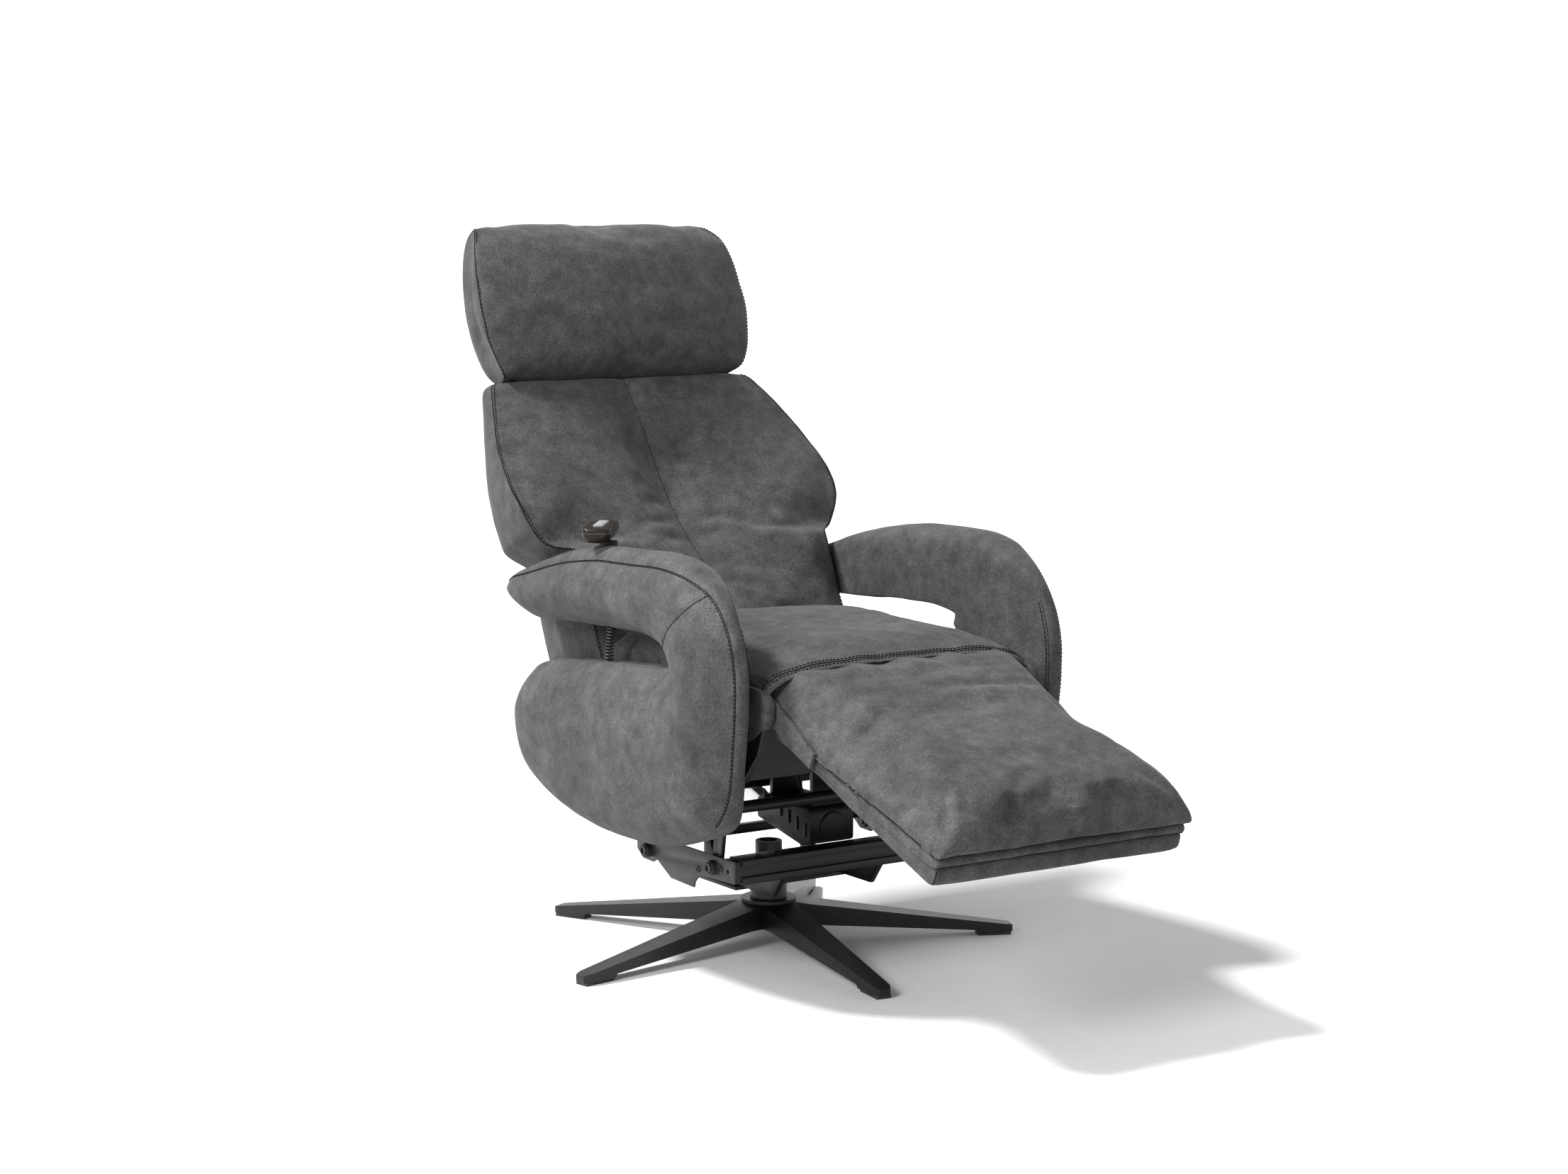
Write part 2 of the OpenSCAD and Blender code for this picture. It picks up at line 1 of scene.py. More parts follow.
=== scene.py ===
import bpy, bmesh, math
import numpy as np
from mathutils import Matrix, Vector, geometry, noise
from mathutils.bvhtree import BVHTree


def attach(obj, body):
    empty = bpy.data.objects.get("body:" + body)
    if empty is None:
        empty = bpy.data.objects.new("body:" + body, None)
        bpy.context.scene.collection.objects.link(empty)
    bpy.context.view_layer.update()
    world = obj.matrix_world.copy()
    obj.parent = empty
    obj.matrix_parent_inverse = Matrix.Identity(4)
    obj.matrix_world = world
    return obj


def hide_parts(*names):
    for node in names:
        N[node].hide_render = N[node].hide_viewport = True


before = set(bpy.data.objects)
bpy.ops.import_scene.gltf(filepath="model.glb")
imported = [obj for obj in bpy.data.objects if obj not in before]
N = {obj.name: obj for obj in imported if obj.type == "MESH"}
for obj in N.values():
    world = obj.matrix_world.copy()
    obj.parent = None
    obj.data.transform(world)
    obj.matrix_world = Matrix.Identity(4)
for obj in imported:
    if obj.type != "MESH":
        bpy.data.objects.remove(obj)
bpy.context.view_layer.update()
scene = bpy.context.scene

# ------------------------------------------------------------------ camera
cam_data = bpy.data.cameras.new("camera")
cam = bpy.data.objects.new("camera", cam_data)
scene.collection.objects.link(cam)
cam.location = (-2.53865, -3.87808, 1.15609)
cam.rotation_euler = (math.radians(82.527), 0, math.radians(-33.5))
cam_data.lens = 71.02
cam_data.sensor_width = 36
cam_data.clip_end = 100
scene.camera = cam


# --------------------------------------------------------------- mesh tools
def add(name, verts, faces, mat, smooth=True):
    me = bpy.data.meshes.new(name)
    me.from_pydata([tuple(map(float, v)) for v in verts], [], [tuple(int(i) for i in f) for f in faces])
    me.update()
    ob = bpy.data.objects.new(name, me)
    scene.collection.objects.link(ob)
    if mat:
        me.materials.append(mat)
    if smooth:
        me.polygons.foreach_set("use_smooth", [True] * len(me.polygons))
    return ob


def dress(ob, body):
    """The body a piece rides on."""
    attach(ob, body)


def coords(ob):
    co = np.zeros(len(ob.data.vertices) * 3)
    ob.data.vertices.foreach_get("co", co)
    return co.reshape(-1, 3)


def set_coords(ob, co):
    ob.data.vertices.foreach_set("co", np.asarray(co, float).ravel())
    ob.data.update()


def normals(ob):
    n = np.zeros(len(ob.data.vertices) * 3)
    ob.data.vertices.foreach_get("normal", n)
    return n.reshape(-1, 3)


def apply(ob):
    dg = bpy.context.evaluated_depsgraph_get()
    me = bpy.data.meshes.new_from_object(ob.evaluated_get(dg), depsgraph=dg)
    ob.modifiers.clear()
    old = ob.data
    ob.data = me
    bpy.data.meshes.remove(old)
    return ob


def subdivide(ob, levels=1):
    m = ob.modifiers.new("sub", "SUBSURF")
    m.levels = m.render_levels = levels
    apply(ob)
    ob.data.polygons.foreach_set("use_smooth", [True] * len(ob.data.polygons))
    return ob


def recalc(ob):
    bm = bmesh.new()
    bm.from_mesh(ob.data)
    bmesh.ops.recalc_face_normals(bm, faces=bm.faces)
    bm.to_mesh(ob.data)
    bm.free()


def catmull(points, step, closed=True):
    """Even points along a smooth curve through the given ones."""
    P = np.array(points, float)
    n = len(P)
    out = []
    for i in range(n if closed else n - 1):
        a, b, c, d = (P[(i - 1) % n], P[i], P[(i + 1) % n], P[(i + 2) % n]) if closed else (
            P[max(i - 1, 0)], P[i], P[i + 1], P[min(i + 2, n - 1)])
        for t in np.linspace(0, 1, 13)[:-1]:
            out.append(0.5 * ((2 * b) + (c - a) * t + (2 * a - 5 * b + 4 * c - d) * t * t + (3 * b - a - 3 * c + d) * t ** 3))
    if not closed:
        out.append(P[-1])
    out = np.array(out)
    return resample(out, step, closed)


def resample(P, step, closed=True):
    Q = np.vstack([P, P[:1]]) if closed else P
    s = np.concatenate([[0], np.cumsum(np.linalg.norm(np.diff(Q, axis=0), axis=1))])
    n = max(3, int(round(s[-1] / step)))
    t = np.linspace(0, s[-1], n + 1)
    if closed:
        t = t[:-1]
    return np.stack([np.interp(t, s, Q[:, k]) for k in range(Q.shape[1])], axis=1)


def cloth(ob, pin, pressure=4.0, shrink=0.0, cap=0.025, stiff=15, frames=20):
    """Blows a closed cushion up a little, with its seams held, and keeps the result."""
    g = ob.vertex_groups.new(name="pin")
    for i, w in enumerate(pin):
        if w > 0:
            g.add([i], float(w), "REPLACE")
    before = coords(ob)
    m = ob.modifiers.new("cloth", "CLOTH")
    s = m.settings
    s.vertex_group_mass = "pin"
    s.pin_stiffness = 1.0
    s.use_pressure = True
    s.uniform_pressure_force = pressure
    s.quality = 6
    s.mass = 0.35
    s.tension_stiffness = s.compression_stiffness = stiff
    s.shear_stiffness = 6
    s.bending_stiffness = 0.8
    s.shrink_min = shrink
    s.effector_weights.gravity = 0
    m.collision_settings.use_collision = False
    m.point_cache.frame_start, m.point_cache.frame_end = 1, frames
    for f in range(1, frames + 1):
        scene.frame_set(f)
    apply(ob)
    scene.frame_set(1)
    after = coords(ob)
    d = after - before
    L = np.linalg.norm(d, axis=1)
    k = np.where(L > cap, cap / np.maximum(L, 1e-9), 1.0)
    set_coords(ob, before + d * k[:, None])
    ob.vertex_groups.clear()
    ob.data.polygons.foreach_set("use_smooth", [True] * len(ob.data.polygons))
    return ob


def crease(ob, line, width, depth):
    """Presses a soft fold (depth > 0) or raises a ridge along a line near the surface."""
    co, no = coords(ob), normals(ob)
    L = np.array(line, float)
    best = np.full(len(co), 1e9)
    along = np.zeros(len(co))
    total = np.sum(np.linalg.norm(np.diff(L, axis=0), axis=1))
    run = 0
    for a, b in zip(L[:-1], L[1:]):
        ab = b - a
        ln = np.linalg.norm(ab)
        t = np.clip(((co - a) @ ab) / (ln * ln), 0, 1)
        d = np.linalg.norm(co - a - t[:, None] * ab, axis=1)
        m = d < best
        best[m] = d[m]
        along[m] = (run + t[m] * ln) / total
        run += ln
    fade = np.sin(np.pi * np.clip(along, 0.02, 0.98)) ** 0.6
    w = np.exp(-(best / width) ** 2) * fade - 0.35 * np.exp(-((best - 1.9 * width) / (0.9 * width)) ** 2) * fade
    set_coords(ob, co - no * (w * depth)[:, None])


def wavy(ob, scale, depth, seed=0, weight=None):
    """Slow unevenness over a soft surface."""
    co, no = coords(ob), normals(ob)
    off = Vector((seed * 3.1, seed * 1.7, seed * 0.9))
    w = np.array([noise.noise(Vector(c) / scale + off) for c in co])
    if weight is not None:
        w = w * weight(co)
    set_coords(ob, co + no * (w * depth)[:, None])


def surface(ob):
    dg = bpy.context.evaluated_depsgraph_get()
    return BVHTree.FromObject(ob, dg)


def on_surface(tree, pts, lift=0.0):
    P, Nn = [], []
    for p in pts:
        loc, nor, _, _ = tree.find_nearest(Vector(p))
        P.append(np.array(loc) + np.array(nor) * lift)
        Nn.append(np.array(nor))
    return np.array(P), np.array(Nn)


def ring_quads(i, j, n):
    """Faces between rings i and j of n points each."""
    return [(i * n + k, i * n + (k + 1) % n, j * n + (k + 1) % n, j * n + k) for k in range(n)]


def tube(name, pts, radius, mat, closed=False, sides=8, caps=True):
    P = np.array(pts, float)
    n = len(P)
    T = np.roll(P, -1, 0) - np.roll(P, 1, 0) if closed else np.gradient(P, axis=0)
    T /= np.maximum(np.linalg.norm(T, axis=1), 1e-9)[:, None]
    up = np.array([0.31, 0.17, 0.93])
    if abs(T[0] @ up) > 0.95:
        up = np.array([1.0, 0.1, 0])
    U = up - T[0] * (up @ T[0])
    U /= np.linalg.norm(U)
    verts, r = [], np.broadcast_to(radius, (n,))
    for i in range(n):
        U = U - T[i] * (U @ T[i])
        U /= np.linalg.norm(U)
        V = np.cross(T[i], U)
        for k in range(sides):
            a = 2 * math.pi * k / sides
            verts.append(P[i] + r[i] * (math.cos(a) * U + math.sin(a) * V))
    faces = []
    for i in range(n if closed else n - 1):
        faces += ring_quads(i, (i + 1) % n, sides)
    if not closed and caps:
        faces.append(tuple(range(sides))[::-1])
        faces.append(tuple((n - 1) * sides + k for k in range(sides)))
    return add(name, verts, faces, mat)


def stitches(name, pts, nor, mat, pitch=0.0062, length=0.0042, r=0.0009):
    """Short thread dashes along a line on a surface."""
    P = np.array(pts)
    s = np.concatenate([[0], np.cumsum(np.linalg.norm(np.diff(P, axis=0), axis=1))])
    verts, faces = [], []
    for c in np.arange(pitch, s[-1] - pitch, pitch):
        q = [np.array([np.interp(c + d, s, P[:, k]) for k in range(3)]) for d in (-length / 2, length / 2)]
        nn = np.array([np.interp(c, s, nor[:, k]) for k in range(3)])
        nn /= np.linalg.norm(nn)
        t = q[1] - q[0]
        t /= np.linalg.norm(t)
        w = np.cross(t, nn)
        b = len(verts)
        for e, (p, lift) in enumerate(((q[0], -0.0003), (q[0] + t * length * 0.3, 0.0004),
            (q[1] - t * length * 0.3, 0.0004), (q[1], -0.0003))):
            for k in range(5):
                a = 2 * math.pi * k / 5
                verts.append(p + nn * lift + r * (math.cos(a) * w + math.sin(a) * nn))
        for e in range(3):
            for k in range(5):
                faces.append((b + e * 5 + k, b + e * 5 + (k + 1) % 5, b + (e + 1) * 5 + (k + 1) % 5,
                    b + (e + 1) * 5 + k))
    return add(name, verts, faces, mat)


def seam(name, base, line, body, mat=None, radius=0.0011, sink=0.0005, thread=None, closed=False, pitch=0.0062):
    """A seam line on a piece's surface, and thread lines beside it given as offset lines."""
    tree = surface(base)
    P, nn = on_surface(tree, line, -sink)
    o = tube(name, P, radius, mat or SEAM, closed=closed, sides=6)
    dress(o, body)
    for k, ln in enumerate(thread or []):
        P, nn = on_surface(tree, ln, 0.0002)
        o = stitches(name + "_thread_%d" % k, P, nn, THREAD, pitch, pitch * 0.68)
        dress(o, body)


def loft(rows, caps=True):
    """Closed rows of points, stacked, with both ends closed by shrinking rings."""
    R, C = len(rows), len(rows[0])
    verts = [tuple(p) for row in rows for p in row]
    faces = []
    for i in range(R - 1):
        faces += ring_quads(i, i + 1, C)
    if caps:
        for end, first in ((0, 0), (R - 1, (R - 1) * C)):
            ring = [first + k for k in range(C)]
            c = np.mean([verts[i] for i in ring], axis=0)
            for s in (0.8, 0.55, 0.3):
                new = []
                for k in range(C):
                    verts.append(tuple(c + (np.array(verts[first + k]) - c) * s))
                    new.append(len(verts) - 1)
                for k in range(C):
                    f = (ring[k], ring[(k + 1) % C], new[(k + 1) % C], new[k])
                    faces.append(f[::-1] if end == 0 else f)
                ring = new
            verts.append(tuple(c))
            for k in range(C):
                f = (ring[k], ring[(k + 1) % C], len(verts) - 1)
                faces.append(f[::-1] if end == 0 else f)
    return verts, faces


def cyl(name, p0, p1, r, mat, body, sides=40, bevel=0.0):
    """A turned piece between two points; r is one radius or (share, radius) pairs."""
    p0, p1 = np.array(p0, float), np.array(p1, float)
    t = (p1 - p0) / np.linalg.norm(p1 - p0)
    u = np.cross(t, [0.3, 0.5, 0.8])
    u /= np.linalg.norm(u)
    v = np.cross(t, u)
    L = np.linalg.norm(p1 - p0)
    prof = r if isinstance(r, (list, tuple)) else ([(0, r - bevel), (bevel / L, r), (1 - bevel / L, r),
        (1, r - bevel)] if bevel else [(0, r), (1, r)])
    verts, faces = [], []
    for s, rr in prof:
        for k in range(sides):
            a = 2 * math.pi * k / sides
            verts.append(p0 + t * L * s + rr * (math.cos(a) * u + math.sin(a) * v))
    for i in range(len(prof) - 1):
        faces += ring_quads(i, i + 1, sides)
    faces.append(tuple(range(sides))[::-1])
    faces.append(tuple((len(prof) - 1) * sides + k for k in range(sides)))
    o = add(name, verts, faces, mat)
    sharp(o)
    dress(o, body)
    return o


def sharp(o, angle=35):
    o.data.polygons.foreach_set("use_smooth", [True] * len(o.data.polygons))
    o.data.update()
    bm = bmesh.new()
    bm.from_mesh(o.data)
    for e in bm.edges:
        if len(e.link_faces) == 2:
            e.smooth = e.calc_face_angle(0) < math.radians(angle)
    bm.to_mesh(o.data)
    bm.free()


def rounded(node, mat, body, width=0.0015, segments=2, angle=30):
    """A copy of a CAD piece's shape with its edges eased."""
    bm = bmesh.new()
    bm.from_mesh(N[node].data)
    bmesh.ops.remove_doubles(bm, verts=bm.verts, dist=1e-5)
    bmesh.ops.dissolve_limit(bm, angle_limit=math.radians(1.5), verts=bm.verts, edges=bm.edges)
    me = bpy.data.meshes.new(node + "_body")
    bm.to_mesh(me)
    bm.free()
    o = bpy.data.objects.new(node + "_body", me)
    scene.collection.objects.link(o)
    m = o.modifiers.new("bevel", "BEVEL")
    m.width = width
    m.segments = segments
    m.limit_method = "ANGLE"
    m.angle_limit = math.radians(angle)
    m.harden_normals = False
    apply(o)
    o.data.materials.clear()
    o.data.materials.append(mat)
    sharp(o, 40)
    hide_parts(node)
    dress(o, body)
    return o


# ---------------------------------------------------------------- materials
def material(name, color, rough, metal=0.0, coat=0.0, sheen=0.0, bump=None, mottle=None, stretch=None, spec=0.5,
    coat_rough=0.1, rough_var=0.0):
    """Principled material; bump and mottle list (scale, strength, detail), and a bump with detail below 0 is cellular."""
    m = bpy.data.materials.new(name)
    m.use_nodes = True
    m.diffuse_color = (*color, 1)
    nt = m.node_tree
    link = nt.links.new

    def node(kind, **values):
        n = nt.nodes.new("ShaderNode" + kind)
        for key, v in values.items():
            n.inputs[key.replace("_", " ")].default_value = v
        return n

    b = nt.nodes["Principled BSDF"]
    for key, v in (("Base Color", (*color, 1)), ("Roughness", rough), ("Metallic", metal), ("Coat Weight", coat),
        ("Coat Roughness", coat_rough),
                   ("Sheen Weight", sheen), ("Sheen Roughness", 0.45), ("Specular IOR Level", spec)):
        b.inputs[key].default_value = v
    src = nt.nodes.new("ShaderNodeTexCoord").outputs["Object"]
    if stretch:
        mp = node("Mapping", Scale=stretch)
        link(src, mp.inputs["Vector"])
        src = mp.outputs["Vector"]
    col = None
    for k, (scale, amount, detail) in enumerate(mottle or []):
        n = node("TexNoise", Scale=scale, Detail=detail, Roughness=0.6, Distortion=0.0 if k else 0.6)
        link(src, n.inputs["Vector"])
        r = node("MapRange", From_Min=0.32, From_Max=0.68, To_Min=1 - amount, To_Max=1 + amount)
        link(n.outputs["Fac"], r.inputs["Value"])
        if col is None:
            col = r.outputs["Result"]
        else:
            x = node("Math")
            x.operation = "MULTIPLY"
            link(col, x.inputs[0])
            link(r.outputs["Result"], x.inputs[1])
            col = x.outputs["Value"]
    if col is not None:
        v = node("VectorMath")
        v.operation = "SCALE"
        v.inputs[0].default_value = color
        link(col, v.inputs["Scale"])
        link(v.outputs["Vector"], b.inputs["Base Color"])
    last = None
    for scale, strength, detail in bump or []:
        if detail < 0:
            n = node("TexVoronoi", Scale=scale)
            out = n.outputs["Distance"]
        else:
            n = node("TexNoise", Scale=scale, Detail=detail)
            out = n.outputs["Fac"]
        link(src, n.inputs["Vector"])
        bp = node("Bump", Strength=1.0, Distance=strength)
        link(out, bp.inputs["Height"])
        if last:
            link(last, bp.inputs["Normal"])
        last = bp.outputs["Normal"]
    if last:
        link(last, b.inputs["Normal"])
    if rough_var:
        n = node("TexNoise", Scale=35, Detail=5)
        link(src, n.inputs["Vector"])
        r = node("MapRange", To_Min=rough - rough_var, To_Max=rough + rough_var)
        link(n.outputs["Fac"], r.inputs["Value"])
        link(r.outputs["Result"], b.inputs["Roughness"])
    return m


LEATHER = material("nubuck_grey", (0.0320, 0.0313, 0.0300), 0.74, sheen=0.05, spec=0.20,
                   mottle=[(6, 0.32, 7), (42, 0.36, 9), (330, 0.38, 4), (900, 0.26, 2)],
                   bump=[(820, 0.00030, -1), (160, 0.0008, 7), (16, 0.0030, 4)], rough_var=0.12)
SEAM = material("seam_shadow", (0.006, 0.006, 0.006), 0.95, spec=0.05, bump=[(700, 0.0002, 3)], mottle=[(90, 0.2, 3)])
THREAD = material("sewing_thread", (0.006, 0.006, 0.0065), 0.8, spec=0.1, bump=[(2200, 0.0002, 2)],
    mottle=[(300, 0.2, 2)])
PAINT = material("satin_black_paint", (0.005, 0.005, 0.0052), 0.36, spec=0.32, bump=[(900, 0.00006, 3)],
    mottle=[(30, 0.12, 4)], rough_var=0.05)
BLACK = material("black_steel", (0.0045, 0.0045, 0.005), 0.38, spec=0.26, bump=[(700, 0.00008, 3)],
    mottle=[(40, 0.2, 4)], rough_var=0.07)
GREY = material("grey_steel", (0.030, 0.030, 0.032), 0.42, metal=0.5, bump=[(500, 0.0001, 3)], mottle=[(30, 0.22, 5)],
    rough_var=0.08)
ZINC = material("zinc_steel", (0.50, 0.50, 0.50), 0.34, metal=1.0, bump=[(300, 0.0001, 3)], mottle=[(60, 0.18, 5)],
    rough_var=0.08)
ALU = material("aluminium", (0.56, 0.57, 0.58), 0.32, metal=1.0, stretch=(1, 0.05, 1), bump=[(1800, 0.00008, 2)],
    mottle=[(200, 0.08, 2)])
PLASTIC = material("black_plastic", (0.005, 0.005, 0.0055), 0.46, spec=0.24, bump=[(1300, 0.0001, 2)],
    mottle=[(50, 0.15, 3)], rough_var=0.06)
GLOSS = material("handset_gloss", (0.010, 0.0075, 0.0065), 0.26, spec=0.16, bump=[(60, 0.00008, 2)],
    mottle=[(20, 0.15, 3)])
RIM = material("handset_rim", (0.07, 0.066, 0.062), 0.35, metal=0.8, mottle=[(80, 0.1, 2)], bump=[(400, 0.00003, 2)])
BUTTON = material("silver_button", (0.15, 0.15, 0.152), 0.60, spec=0.2, bump=[(700, 0.00004, 2)],
    mottle=[(120, 0.05, 2)])
RUBBER = material("black_rubber", (0.018, 0.018, 0.018), 0.75, bump=[(800, 0.0001, 3)], mottle=[(60, 0.2, 3)])
CORD = material("coil_cord", (0.008, 0.008, 0.0085), 0.36, spec=0.5, bump=[(900, 0.00008, 2)], mottle=[(90, 0.12, 3)])
WEB = material("spring_fabric", (0.030, 0.030, 0.031), 0.85, sheen=0.3, bump=[(420, 0.0006, -1)],
    mottle=[(160, 0.25, 3)])
WOOD = material("plywood", (0.30, 0.20, 0.12), 0.6, stretch=(1, 12, 12), bump=[(40, 0.0003, 5)], mottle=[(22, 0.25, 6)])

# ------------------------------------------------------ coiled handset cord
route = [(-.270, .004, .514), (-.270, .008, .500), (-.270, .012, .488), (-.270, .014, .476), (-.270, .016, .464),
    (-.270, .017, .451)]
axis = resample(np.array(route), 0.0005, closed=False)
turns = 12.5
helix = []
npt = int(turns * 16)
for i in range(npt + 1):
    a = 2 * math.pi * turns * i / npt
    c = axis[min(len(axis) - 1, int(round(i / npt * (len(axis) - 1))))]
    f = i / npt * (len(axis) - 1)
    k = min(int(f), len(axis) - 2)
    c = axis[k] + (axis[k + 1] - axis[k]) * (f - k)
    helix.append(c + np.array([0.0053 * math.cos(a), 0.0053 * math.sin(a), 0]))
helix = np.array(helix)
coil = tube("coil_cord_wire", helix, 0.0017, CORD, sides=12)
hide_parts("coil_cord")
dress(coil, "seat")

# ----------------------------------------------------------------- armrests
ARM = [(272, 549, 3, 296), (245, 560, 7, 303), (209, 569, 11, 304), (140, 587, 15, 304), (72, 601, 17, 304),
    (-4, 611, 18, 304), (-60, 614, 18, 304),
       (-117, 616, 18, 304), (-160, 617.5, 17, 304), (-197, 617, 15, 303), (-236, 611, 13, 299), (-268, 600, 11, 294),
           (-292, 588, 9, 289), (-314, 569, 8, 286),
       (-335, 539, 7, 284), (-347, 505, 6, 284), (-352, 473, 5, 284), (-352, 440, 5, 284), (-350, 407, 5, 284),
           (-346, 374, 5, 284), (-340, 324, 5, 285),
       (-328, 292, 5, 287), (-310, 268, 5, 288), (-280, 250, 5, 289), (-240, 236, 5, 289), (-193, 223, 5, 289),
           (-130, 213, 5, 289), (-74, 209, 5, 289),
       (-20, 209, 5, 289), (35, 212, 5, 289), (85, 219, 5, 289), (128, 229, 5, 289), (192, 254, 5, 289),
           (227, 282, 5, 289), (244, 320, 5, 289),
       (249, 356, 5, 289), (243, 381, 4, 289), (217, 413, 4, 289), (174, 435, 3, 290), (87, 447, 2, 291),
           (25, 452, 2, 291), (-37, 457, 2, 291),
       (-110, 463, 2, 291), (-172, 469, 2, 290), (-190, 472, 2, 288), (-192, 481, 2, 286), (-174, 498, 3, 284),
           (-133, 511, 2, 284), (-78, 515, 2, 286),
       (30, 511, 2, 288), (101, 507, 2, 288), (187, 502, 2, 288), (228, 508, 2, 288), (258, 521, 2, 289),
           (271, 535, 2, 291)]
A = np.array(ARM, float) / 1000


def front_share(y, z):
    """1 along the armrest's front edge, 0 along its top and underside."""
    a = np.interp(z, [0.235, 0.262, 0.29, 0.33, 0.545, 0.575, 0.598, 0.615], [0, 0.25, 0.7, 1, 1, 0.75, 0.35, 0])
    return a if y < -0.18 else 0.0


def fill2d(ring, spacing):
    """Triangles that fill a ring of 2-D points, with even points inside it."""
    R = np.array(ring)
    lo, hi = R.min(0), R.max(0)
    a, b = R, np.roll(R, -1, 0)

    def dist(P):
        d = np.full(len(P), 1e9)
        for p, q in zip(a, b):
            e = q - p
            t = np.clip(((P - p) @ e) / (e @ e), 0, 1)
            d = np.minimum(d, np.linalg.norm(P - p - t[:, None] * e, axis=1))
        return d

    def inside(P):
        c = np.zeros(len(P), bool)
        for p, q in zip(a, b):
            m = (p[1] > P[:, 1]) != (q[1] > P[:, 1])
            x = (q[0] - p[0]) * (P[:, 1] - p[1]) / ((q[1] - p[1]) or 1e-12) + p[0]
            c ^= m & (P[:, 0] < x)
        return c
    pts = []
    h = spacing * 0.866
    for j, y in enumerate(np.arange(lo[1], hi[1], h)):
        for x in np.arange(lo[0] + (spacing / 2 if j % 2 else 0), hi[0], spacing):
            pts.append((x, y))
    P = np.array(pts)
    P = P[inside(P)]
    P = P[dist(P) > spacing * 0.62]
    allp = [Vector(p) for p in R] + [Vector(p) for p in P]
    out = geometry.delaunay_2d_cdt(allp, [], [list(range(len(R)))], 1, 1e-7)
    V = np.array([tuple(v) for v in out[0]])
    return V, [tuple(f) for f in out[2]], dist(V)


def armrest(s, node):
    C = catmull(A, 0.0075)
    S, H, XS = C[:, :2], C[:, 2], C[:, 3]
    n = len(S)
    T = np.roll(S, -1, 0) - np.roll(S, 1, 0)
    T /= np.linalg.norm(T, axis=1)[:, None]
    NO = np.column_stack([T[:, 1], -T[:, 0]])
    area = 0.5 * np.sum(S[:, 0] * np.roll(S[:, 1], -1) - np.roll(S[:, 0], -1) * S[:, 1])
    if area < 0:
        NO = -NO
    F = np.array([front_share(y, z) for y, z in S])
    F = np.convolve(np.concatenate([F[-4:], F, F[:4]]), np.ones(9) / 9, "valid")
    # across the edge band, from the outer seam to the inner panel
    tx = [1.0, 0.985, 0.93, 0.85, 0.72, 0.56, 0.39, 0.24, 0.12, 0.03, 0.0]
    th = [-0.08, 0.25, 0.52, 0.78, 0.95, 1.0, 0.93, 0.74, 0.42, 0.0, -0.6]
    fx = [284, 283, 280.5, 277, 273, 269, 265.5, 262, 256.5, 248, 239]
    fo = [-0.0008, 0.0018, 0.0038, 0.005, 0.0053, 0.0048, 0.003, -0.001, 0.0, 0.0, 0.0]
    fs = [0, 0, 0, 0, 0, 0, 0, 0, 0.012, 0.038, 0.072]
    rows = []
    for j in range(11):
        x = (1 - F) * (0.236 + (XS - 0.236) * tx[j]) + F * fx[j] / 1000
        small = (1 - F) * H * th[j] + F * fo[j]
        p = S + NO * small[:, None]
        p[:, 0] += F * fs[j]
        rows.append(np.column_stack([s * x, p]))
    verts, faces = [], []
    for r in rows:
        verts += [tuple(p) for p in r]
    for j in range(10):
        faces += ring_quads(j, j + 1, n)
    for row, inward in ((rows[0], False), (rows[-1], True)):
        ring = row[:, 1:]
        V, F3, D = fill2d([tuple(p) for p in ring], 0.0085)
        base = len(verts)
        W = 1 / (np.linalg.norm(V[:, None, :] - ring[None], axis=2) ** 3 + 1e-9)
        xb = (W @ np.abs(row[:, 0])) / W.sum(1)
        fb = (W @ F) / W.sum(1)
        for v, d, x0, f in zip(V, D, xb, fb):
            if d < 1e-6:
                x = abs(row[int(np.argmin(np.linalg.norm(ring - v, axis=1)))][0])
            elif inward:
                x = x0 + (0.2345 - x0) * (1 - math.exp(-d / (0.012 + 0.02 * f)))
            else:
                t = 0.017 + 0.014 * f
                full = 0.3215 + 0.006 * min(1, d / 0.1)
                x = x0 + (full - x0) * (1 - math.exp(-(d / t) ** 1.15))
            verts.append((s * x, v[0], v[1]))
        faces += [tuple(base + i for i in f) for f in F3]
    o = add(node + "_cover", verts, faces, LEATHER)
    bm = bmesh.new()
    bm.from_mesh(o.data)
    bmesh.ops.remove_doubles(bm, verts=bm.verts, dist=2e-5)
    bmesh.ops.recalc_face_normals(bm, faces=bm.faces)
    bm.to_mesh(o.data)
    bm.free()
    return o, rows[0], rows[7], F


